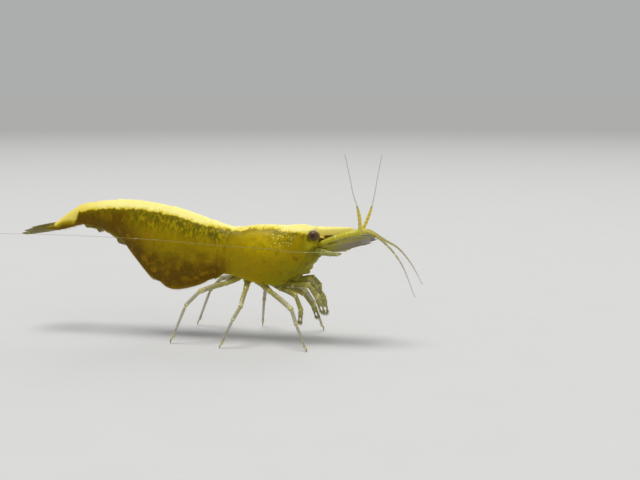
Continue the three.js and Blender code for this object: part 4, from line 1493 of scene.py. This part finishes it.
def cast_grazing_leg(name, spots):
    """Hip piece, thigh, wrist and pincer; the front pair is stouter."""
    hip, knee, wrist, tip = spots
    leg = Casting(*LIMB_MARKS)
    across = unit(np.cross(tip - hip, (0, 0, 1)))
    hip_end = hip + (knee - hip) * GRAZER_HIP
    front_pair = name.startswith("leg_1")
    stout = STOUT if front_pair else LESS_STOUT
    add_segment(leg, hip + HIP_TUCK, hip_end, (0.27, 0.22), across, along=(0, 0.18))
    add_segment(leg, hip_end, knee, (0.21, 0.2), across, 1.1, (0.18, 0.42), bow=0.05)
    cup = (0.16, stout) if front_pair else (0.15, 0.19)
    carpus = add_segment(leg, knee, wrist, cup, across, along=(0.42, 0.6))
    add_spines(leg, *carpus, (0.96, 0.97, 0.98), unit(tip - wrist) + across, 0.12, 0.012, 0.5)
    add_pincer(leg, wrist, tip, stout, across)
    return leg


for name, spots in GRAZING_LEGS.items():
    leg = cast_grazing_leg(name, [on_side(spot, side_of(name)) for spot in spots])
    place(name, leg, GRAZER, "limb", name)


# %% Mouth legs
def cast_mouth_leg(spots):
    """A slim three-jointed mouth leg with combs of hairs on its inner side."""
    hip, knee, wrist, tip = spots
    leg = Casting(*LIMB_MARKS)
    across = np.array([0.0, 1.0, 0.0])
    add_segment(leg, hip, knee, (0.22, 0.2), across, along=(0, 0.35), bow=0.06)
    middle = add_segment(leg, knee, wrist, (0.17, 0.16), across, along=(0.35, 0.65))
    last = add_segment(leg, wrist, tip + (0, 0, 0.08), (0.14, 0.07), across, along=(0.65, 1))
    inner = np.array([-0.8, 0.0, -0.2])
    for path, radius in (middle, last):
        for lean in (-0.5, 0.0, 0.5):
            add_spines(leg, path, radius, np.linspace(0.05, 0.98, 14), inner + lean * across,
                       0.16 + 0.1 * chance.random(14), 0.01, 0.8)
    return leg


for word, side in SIDES:
    leg = cast_mouth_leg([on_side(spot, side) for spot in MOUTH_LEG])
    place(f"mouth_leg_{word}", leg, GRAZER, "limb", f"mouth_leg_{word}")

# %% [markdown]
# ## First feelers
# Each first feeler has a stout stem of three joints and two whips. One whip stands up: its
# lower part is thick and yellow and carries the smelling hairs, the rest is thin and grey. The
# other arches forwards and down. Real whips are strings of tiny beads, so each one here is a
# tube of hundreds of rings that swell a little. Beads on a curve could be repeated by an array,
# but a tube keeps a whip in one closed piece.


# %% Whips
RING_STEP = 0.11             # length of one ring of a whip
UP_WHIP = {
    "left": ((10.1, 0.46, 8.76), (10.12, 0.5, 9.06), (10.3, 0.6, 9.5), (10.6, 0.68, 10.33),
             (10.87, 0.8, 11.44), (11.12, 0.9, 12.99), (11.42, 1.05, 14.7)),
    "right": ((10.04, 0.46, 8.76), (10.05, 0.5, 9.06), (10.02, 0.58, 9.78),
              (9.9, 0.66, 10.58), (9.54, 0.8, 11.85), (9.34, 0.9, 12.93), (8.95, 1.05, 14.8))}
FORWARD_WHIP = {
    "left": ((10.05, 0.4, 8.8), (10.46, 0.42, 8.84), (11.05, 0.4, 8.6), (11.7, 0.45, 8.2),
             (12.88, 0.5, 7.52), (13.88, 0.6, 6.32), (14.75, 0.7, 4.74)),
    "right": ((10.05, 0.4, 8.8), (10.46, 0.42, 8.84), (11.17, 0.4, 8.6), (11.81, 0.45, 8.17),
              (12.67, 0.5, 7.33), (13.46, 0.55, 6.17), (14.4, 0.65, 3.92))}


UP_GIRTH = ((0, 0.16), (0.4, 0.145), (1.5, 0.125), (1.9, 0.09), (2.2, 0.06), (6.4, 0.032))
UP_TINT = ((0, 1.0), (1.6, 0.9), (2.3, 0.15), (6.4, 0.0))
FORWARD_GIRTH = ((0, 0.2), (0.6, 0.16), (1.6, 0.11), (3.5, 0.07), (7.5, 0.03))
FORWARD_TINT = ((0, 0.75), (0.6, 0.5), (4.0, 0.3), (7.5, 0.0))


def cast_whip(points, side, girth, tint):
    """A ringed whip with its path and length. girth and tint are (mm along, value) stations."""
    whip = Casting("along", "rings", "tint")
    rough = smooth_path([on_side(point, side) for point in points], 60)
    length = float(np.linalg.norm(np.diff(rough, axis=0), axis=1).sum())
    count = int(length / RING_STEP) * 4
    path = smooth_path([on_side(point, side) for point in points], count)
    walked = np.linspace(0, length, count)
    beads = 1 + 0.07 * np.sin(2 * np.pi * walked / RING_STEP)
    radius = smooth_line(girth)(walked) * beads
    add_tube(whip, path, radius, across=(0.3, 1, 0.2), sides=8, along=walked / length,
             rings=2 * np.pi * walked / (RING_STEP * 3), tint=smooth_line(tint)(walked))
    return whip, path, length


for name, points in UP_WHIP.items():
    print(f"up whip {name}: {cast_whip(points, 1, UP_GIRTH, UP_TINT)[2]:.1f} mm long")


# %% Stems of the first feelers
STEM_Y = 0.42
STEM_JOINTS = (              # x, z and radius
    (6.85, 7.7, 0.29), (8.15, 8.2, 0.325), (9.05, 8.52, 0.3), (10.08, 8.78, 0.25))
COLLAR_SPINES = 8            # round the far end of each joint


def cast_stem(side):
    """The three-jointed stem of a first feeler, with the scale-like spine at its side."""
    stem = Casting(*LIMB_MARKS)
    across = np.array([0.0, 1.0, 0.0])
    spots = [np.array([x, STEM_Y * side, z]) for x, z, _ in STEM_JOINTS]
    radii = [radius for _, _, radius in STEM_JOINTS]
    for i in range(3):
        path, radius = add_segment(stem, spots[i], spots[i + 1], radii[i:i + 2], across,
                                   along=(0.15 + 0.25 * i, 0.4 + 0.25 * i), sides=20)
        for turn in np.linspace(0, 2 * np.pi, COLLAR_SPINES + 1)[:-1]:
            towards = np.array([0.0, np.cos(turn), np.sin(turn)])
            add_spines(stem, path, radius, (0.97,), towards * 0.7, 0.12, 0.011, 0.5)
        add_spines(stem, path, radius, np.linspace(0.1, 0.9, 9), (0, -side, -0.3), 0.14, 0.009,
                   0.5)
    side_spine = np.array([[7.05, 0.62 * side, 7.8], [7.6, 0.8 * side, 8.0],
                           [8.3, 0.8 * side, 8.28]])
    add_tube(stem, smooth_path(side_spine, 14), np.linspace(0.11, 0.012, 14),
             np.linspace(0.05, 0.01, 14), sides=10, along=0.2, knot=0.1)
    return stem


print("a stem has three joints with", COLLAR_SPINES, "collar spines each")

# %% First feelers
SMELLING_HAIRS = 46


def cast_smelling_hairs(path, side):
    """Soft hairs in a row along the thick part of the standing whip."""
    casting = Casting("along")
    roots = path[8 + np.arange(SMELLING_HAIRS)]
    jitter = 0.03 * chance.random((SMELLING_HAIRS, 3))
    tips = roots + np.array([0.16, -0.03 * side, 0.1]) + jitter
    add_hairs(casting, roots, tips, 0.011, along=0.3)
    return casting


for word, side in SIDES:
    name = f"first_feeler_stem_{word}"
    place(name, cast_stem(side), STEM, "limb", name)
    name = f"first_feeler_up_{word}"
    up, path, _ = cast_whip(UP_WHIP[word], side, UP_GIRTH, UP_TINT)
    place(name, up, FEELER, "feeler", name)
    place(f"smelling_hairs_{word}", cast_smelling_hairs(path, side), HAIR, "feeler")
    name = f"first_feeler_forward_{word}"
    forward, *_ = cast_whip(FORWARD_WHIP[word], side, FORWARD_GIRTH, FORWARD_TINT)
    place(name, forward, FEELER, "feeler", name)

# %% [markdown]
# ## Second feelers
# The second feelers have a short green-tinged stem and one very long whip. It loops out and back
# and trails along the flank, past the tail. Beside the stem lies the broad clear scale that
# steers the shrimp when it darts away: straight on its outer edge, which ends in a tooth, and
# rounded and fringed on its inner one. A flat plane with a leaf painted on it would do from far
# away. Here a grid is bent along a line and thickened, so the blade has a midrib and an edge of
# its own, and the same builder makes the swimmerets and the tail fan.


# %% Blades and fringes
BLADE_COLUMNS = 33
FRINGE_LONG = 0.26
FRINGE_THICK = 0.01


def add_blade(casting, line, across, half_width, thick, ribs=0.0, camber=0.0, count=64):
    """A thin leaf-shaped blade along a line; half_width gives (inner, outer) for shares."""
    path = smooth_path(line, count)
    t = np.linspace(0, 1, count)
    ahead = unit(np.gradient(path, axis=0))
    across = unit(across - ahead * (ahead @ np.asarray(across, float))[:, None])
    normal = unit(np.cross(ahead, across))
    if normal[:, 2].mean() < 0:
        normal = -normal
    inner, outer = half_width(t)
    s = np.linspace(-1, 1, BLADE_COLUMNS)[None, :]
    reach = np.where(s < 0, inner[:, None], outer[:, None]) * s
    bulge = camber * (1 - s**2) * np.maximum(inner, outer)[:, None]
    ridge = ribs * (bump_at(s, 0.0, 0.08) + 0.5 * bump_at(s, 0.55, 0.08))
    top = (path[:, None] + reach[..., None] * across[:, None]
           + (bulge + ridge)[..., None] * normal[:, None])
    body = 0.25 + 0.75 * np.sqrt(np.clip(1 - s**2, 0, 1)) * np.minimum(1, 6 * (1.02 - t))[:, None]
    add_plate(casting, top, thick * body, -normal[:, None], along=t[:, None], rim=np.abs(s),
              edgeways=s)
    return top, across


def add_fringe(casting, edge, outwards_to, lean, length=FRINGE_LONG, thick=FRINGE_THICK):
    """A fringe of fine hairs along a blade's edge, leaning along it."""
    count = len(edge)
    ahead = unit(np.gradient(edge, axis=0))
    jitter = 0.15 * (chance.random((count, 3)) - 0.5)
    directions = unit(outwards_to + lean * ahead + jitter)
    lengths = length * (0.8 + 0.2 * chance.random((count, 1)))
    add_hairs(casting, edge, edge + directions * lengths, thick, along=0.5)


print("a blade is", BLADE_COLUMNS, "columns wide and thins to a quarter at its rims")


# %% Stem and scale of a second feeler
SECOND_STEM = (              # x, y, z and radius
    (6.7, 0.86, 7.32, 0.24), (7.25, 1.07, 7.23, 0.25), (7.9, 1.34, 7.16, 0.19),
    (8.45, 1.48, 7.16, 0.15))
WHIP_ROOT = ((8.45, 1.48, 7.16), (8.72, 1.6, 7.22), (8.8, 1.98, 7.3), (8.4, 2.4, 7.38),
             (7.4, 2.62, 7.4), (5.2, 2.68, 7.4), (2.9, 2.66, 7.58), (-1.4, 2.6, 7.74))
WHIP_TIP = {
    "left": ((-5.0, 2.5, 8.3), (-8.5, 2.35, 9.1), (-11.5, 2.1, 9.35), (-14.2, 1.8, 8.9)),
    "right": ((-6.46, 2.5, 8.0), (-10.7, 2.4, 8.08), (-15.1, 2.3, 8.12), (-19.5, 2.3, 8.07),
              (-23.95, 2.4, 7.95))}
SCALE_LINE = ((7.5, 0.95, 7.58), (9.3, 0.96, 7.95), (11.0, 0.92, 8.4))


def cast_second_stem(side):
    """The short stem of a second feeler."""
    stem = Casting(*LIMB_MARKS)
    spots = [on_side(spot[:3], side) for spot in SECOND_STEM]
    for i in range(3):
        girth = (SECOND_STEM[i][3], SECOND_STEM[i + 1][3])
        path, radius = add_segment(stem, spots[i], spots[i + 1], girth, (0, 1, 0),
                                   along=(0.3 * i, 0.3 * i + 0.3), sides=18)
        add_spines(stem, path, radius, (0.95, 0.96, 0.97), (0.2, side, -0.4), 0.12, 0.012, 0.5)
    return stem


def scale_width(t):
    """Half widths of the feeler scale: round inner edge, straight outer one."""
    inner = 0.46 * np.sin(np.pi * np.clip(0.12 + 0.86 * t, 0, 1)) ** 0.6
    outer = 0.5 * rise(t, -0.25, 0.25) * (1 - 0.3 * t) * (1 - rise(t, 0.93, 1.0) * 0.7)
    return inner, outer


def cast_scale(side):
    """The clear scale with its tooth, and the grid and direction that its fringe follows."""
    scale = Casting("along", "rim", "edgeways")
    tilted = np.array([0, 0.5 * side, -0.87])
    line = [on_side(point, side) for point in SCALE_LINE]
    top, across = add_blade(scale, line, tilted, scale_width, 0.1, ribs=0.02, camber=0.1)
    tooth_path = np.concatenate([top[-16:-5, -1], [top[-6, -1] + (0.3, 0, 0.08)]])
    add_tube(scale, smooth_path(tooth_path, 12), 0.055 * np.sin(np.linspace(0.2, 3.0, 12)) ** 0.8,
             sides=8, along=0.8, rim=0.5)
    return scale, top, across


def cast_scale_fringe(top, across):
    """Hairs along the scale's inner edge and round its front."""
    fringe = Casting("along")
    inner_edge = smooth_path(top[14:, 0], 120)
    add_fringe(fringe, inner_edge, -across[0] * 0.8, 0.8)
    front_edge = smooth_path(np.concatenate([top[-2, :1], top[-1, 2:-2], top[-2, -1:]]), 50)
    add_fringe(fringe, front_edge, np.array([0.95, 0, 0.2]), 0.0)
    return fringe


print("the whip's root has", len(WHIP_ROOT), "places on its way past the cheek")

# %% Second feelers
WHIP_GIRTH = ((0, 0.12), (0.5, 0.08), (2.0, 0.042), (12.0, 0.032), (35.0, 0.02))
WHIP_TINT = ((0, 0.45), (3.0, 0.25), (12.0, 0.1), (35.0, 0.0))
for word, side in SIDES:
    name = f"second_feeler_stem_{word}"
    place(name, cast_second_stem(side), GREEN_STEM, "limb", name)
    whip, _, length = cast_whip(WHIP_ROOT + WHIP_TIP[word], side, WHIP_GIRTH, WHIP_TINT)
    place(f"second_feeler_whip_{word}", whip, FEELER, "feeler",
          f"second_feeler_root_{word}", f"second_feeler_tip_{word}")
    scale, top, across = cast_scale(side)
    place(f"feeler_scale_{word}", scale, SCALE, "fan", f"feeler_scale_{word}")
    place(f"scale_fringe_{word}", cast_scale_fringe(top, across), FRINGE, "fan")
    print(f"whip_{word}: {length:.1f} mm long")

# %% [markdown]
# ## Swimmerets
# Five pairs of paddles hang under the tail plates. Each has a flattened stalk and two thin leaf
# blades with a fringe of hairs; a female carries her eggs among them. The blades come from the
# same leaf builder as the feeler scale. One pair could be copied five times, but the real ones
# differ in size and lean, so each pair has its own root and tip.


# %% Swimmerets
SWIMMERETS = (               # root and tip as (x, z), and how far out each of them is
    ((-1.3, 6.15), (-2.2, 4.75), 0.42, 0.42), ((-3.7, 6.1), (-4.6, 3.95), 0.45, 0.5),
    ((-7.0, 6.35), (-7.1, 4.5), 0.42, 0.46), ((-10.9, 8.35), (-9.3, 7.2), 0.34, 0.32),
    ((-12.6, 8.66), (-11.2, 8.34), 0.3, 0.24))


def leaf_width(t):
    """Half widths of a swimmeret's leaf blade."""
    shape = np.sin(np.pi * np.clip(0.1 + 0.88 * t, 0, 1)) ** 0.7
    return 0.32 * shape, 0.26 * shape


def cast_stalk(start, end, elbow):
    """The flattened stalk of a swimmeret."""
    size = float(np.linalg.norm(end - start)) / 2.0
    stalk = Casting(*LIMB_MARKS)
    add_segment(stalk, start + (start - end) * 0.08, elbow, (0.3 * size, 0.24 * size),
                (0.2, 1, 0), flat=0.62, along=(0.1, 0.4), sides=16)
    return stalk


def cast_paddles(elbow, end, side):
    """The two leaf blades of a swimmeret, and their fringe."""
    blades = Casting("along", "rim", "edgeways")
    fringe = Casting("along")
    for turn in (1, -1):
        root_spot = elbow + np.array([0, 0.05 * turn * side, 0])
        tip_spot = end + np.array([0.12 * turn, 0.09 * turn * side, 0.1 - 0.06 * turn])
        middle = (root_spot + tip_spot) / 2 + np.array([-0.08, 0.1 * turn * side, 0])
        facing = np.array([0.9, 0.42 * side * turn, 0.1])
        top, across = add_blade(blades, [root_spot, middle, tip_spot], facing, leaf_width,
                                0.05, ribs=0.008, camber=0.12, count=40)
        for column in (0, -1):
            away = across[0] * (1 if column else -1)
            edge = smooth_path(top[6:, column], 34)
            add_fringe(fringe, edge, away * 0.5, 0.9, 0.2, 0.009)
    return blades, fringe


for number, (root, tip, out, reach) in enumerate(SWIMMERETS, start=1):
    for word, side in SIDES:
        start = np.array([root[0], out * side, root[1]])
        end = np.array([tip[0], reach * side * 1.15, tip[1]])
        elbow = start + (end - start) * 0.42
        pair = f"{number}_{word}"
        place(f"swimmeret_stalk_{pair}", cast_stalk(start, end, elbow), GRAZER, "limb",
              f"swimmeret_{pair}")
        blades, fringe = cast_paddles(elbow, end, side)
        place(f"swimmeret_blades_{pair}", blades, PADDLE, "limb")
        place(f"swimmeret_fringe_{pair}", fringe, FRINGE, "limb")

# %% [markdown]
# ## Tail fan
# The fan is the narrow middle tail spine with two blades on each side. The tail spine is a
# stiff tapering plate, convex on top, with pairs of tiny spines along its sides and a comb of
# longer ones at its end. The side blades are thin, ribbed, and edged with fine hairs; the outer
# one is cut across by a seam with a row of teeth, where the real blade can fold. A wavy bump
# could stand for the ribs, but ribs that are really raised also show at the blade's end.


# %% Tail spine
SPINE_START = np.array([-15.3, 0.0, 8.86])
SPINE_END = np.array([-17.95, 0.0, 8.46])
SIDE_SPINES = (0.36, 0.5, 0.64, 0.78)    # as shares of the tail spine's length
COMB_SPINES = 10


def cast_tail_spine():
    """The stiff middle piece of the fan, and its spines."""
    casting = Casting("along", "rim")
    rows, columns = 72, 49
    t = np.linspace(0, 1, rows)[:, None]
    s = np.linspace(-1, 1, columns)[None, :]
    round_end = 1 - 0.1 * s**2
    half = 0.5 - 0.27 * t - 0.06 * np.sin(np.pi * t)
    half = half * np.sqrt(np.clip(1 - (np.clip(t - 0.94, 0, 1) / 0.075)**2, 0.1, 1))
    x = SPINE_START[0] + (SPINE_END[0] - SPINE_START[0]) * t * round_end
    z = SPINE_START[2] + (SPINE_END[2] - SPINE_START[2]) * t + 0.03 * np.sin(np.pi * t)
    crown = 0.26 * (1 - 0.45 * t) * (1 - np.abs(s)**2.2)
    groove = 0.035 * bump_at(s, 0, 0.25) * rise(t, 0.05, 0.3)
    top = np.stack(np.broadcast_arrays(x, half * s, z + crown - groove - 0.14), axis=-1)
    thickness = 0.26 * (1 - 0.55 * t) * np.sqrt(np.clip(1.02 - s**2, 0.01, 1))
    add_plate(casting, top, thickness, np.array([0.0, 0.0, -1.0]), along=t, rim=np.abs(s))
    spines = Casting("along")
    for share in SIDE_SPINES:
        row = int(share * (rows - 1))
        for column in (7, columns - 8):
            foot = top[row, column]
            ahead = np.array([-0.12, 0.03 * np.sign(foot[1]), 0.035])
            add_hairs(spines, foot[None], (foot + ahead)[None], 0.014, along=0.0)
    comb = np.linspace(3, columns - 4, COMB_SPINES).astype(int)
    for i, column in enumerate(comb):
        foot = top[-2, column] - (0, 0, 0.04)
        reach = 0.2 if i in (0, COMB_SPINES - 1) else 0.3
        ahead = np.array([-reach, 0.1 * foot[1], -0.04])
        add_hairs(spines, foot[None], (foot + ahead)[None], 0.016, along=0.3)
    return casting, spines


casting, spines = cast_tail_spine()
place("tail_spine", casting, TAIL_SPINE, "shell", "tail_spine")
place("tail_spine_teeth", spines, HAIR, "fan")

# %% Fan blades
INNER_FAN = ((-15.45, 0.26, 8.46), (-17.0, 0.42, 8.4), (-18.14, 0.58, 8.2))
OUTER_FAN = ((-15.45, 0.56, 8.38), (-16.9, 1.17, 8.2), (-17.85, 1.61, 8.08))
FAN_FOOT = ((-15.3, 0.4, 8.5), (-15.85, 0.5, 8.44), (-16.45, 0.62, 8.34))
FAN_ROWS = 72
SEAM = 0.8                   # where the outer blade can fold, as a share of its length


def inner_fan_width(t):
    """Half widths of the inner blade: a long oval."""
    shape = np.sin(np.pi * np.clip(0.14 + 0.82 * t**1.2, 0, 1)) ** 0.75
    return 0.34 * shape, 0.36 * shape


def outer_fan_width(t):
    """Half widths of the outer blade: straight outside as far as the seam, then round."""
    inner = 0.46 * np.sin(np.pi * np.clip(0.14 + 0.82 * t**1.25, 0, 1)) ** 0.7
    outer = 0.3 * rise(t, -0.35, 0.35) * np.where(t < SEAM, 1, 1 - ((t - SEAM) / 0.21)**2)
    return inner, np.clip(outer, 0.01, 1)


def add_foot_and_seam(blade, top, side):
    """The foot that both blades share, and the toothed seam of the outer one."""
    foot = smooth_path([on_side(spot, side) for spot in FAN_FOOT], 16)
    foot_girth = smooth_line([(0, 0.26), (0.6, 0.27), (0.9, 0.2), (1, 0.1)])
    girth = foot_girth(np.linspace(0, 1, 16))
    add_tube(blade, foot, girth, girth * 0.85, sides=18, along=0.02, rim=0.3)
    seam = top[int(SEAM * (FAN_ROWS - 1)), 4:-2]
    add_tube(blade, smooth_path(seam, 30), np.full(30, 0.016), sides=8, along=0.7)
    tooth = np.linspace(0, 1, 6)[:, None] * np.array([-0.07, 0.01 * side, 0.0])
    for root in smooth_path(seam, 17):
        add_tube(blade, root + tooth, np.linspace(0.013, 0.004, 6), sides=6, along=0.7)


print("fan blades reach back to", INNER_FAN[-1][0], "and", OUTER_FAN[-1][0], "mm")

# %% Tail fan
FAN_BLADES = (               # kind, line, tilt, width, and the row its outer fringe starts at
    ("inner", INNER_FAN, (0.15, 1.0, -0.34), inner_fan_width, 22),
    ("outer", OUTER_FAN, (0.35, 1.0, -0.3), outer_fan_width, 58))


def cast_fan_fringe(top, away, outer_from, side):
    """Hairs along both edges of a fan blade and round its end."""
    fringe = Casting("along")
    inner_edge = smooth_path(top[22:-1, 0], 90)
    outer_edge = smooth_path(top[outer_from:-1, -1], 80)
    end_edge = smooth_path(np.concatenate([top[-3, :1], top[-1, 4:-4], top[-3, -1:]]), 44)
    for edge, way in ((inner_edge, -away), (outer_edge, away)):
        add_fringe(fringe, edge, way * 0.45, 0.95)
    add_fringe(fringe, end_edge, np.array([-1.0, 0.2 * side, -0.12]), 0.0)
    return fringe


for kind, fan_line, tilt, width, outer_from in FAN_BLADES:
    for word, side in SIDES:
        blade = Casting("along", "rim", "edgeways")
        line = [on_side(point, side) for point in fan_line]
        top, across = add_blade(blade, line, on_side(tilt, side), width, 0.11, ribs=0.022,
                                camber=0.14, count=FAN_ROWS)
        if kind == "outer":
            add_foot_and_seam(blade, top, side)
        place(f"fan_{kind}_{word}", blade, FAN, "fan", f"fan_{kind}_{word}")
        fringe = cast_fan_fringe(top, across[0], outer_from, side)
        place(f"fan_fringe_{kind}_{word}", fringe, FRINGE, "fan")

# %% [markdown]
# ## Sizes
# The finished model must keep the size of the solids, so both boxes are printed side by side.

# %% Sizes and finish
fine_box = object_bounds()
boxes = {"cad": [list(corner) for corner in solid_box],
         "visual": [list(corner) for corner in fine_box]}
print("pieces:", len(triangles_made))
print("triangles:", sum(triangles_made))
for name, box in boxes.items():
    print(name, [round((high - low) / MM, 2) for low, high in zip(*box)], "mm")
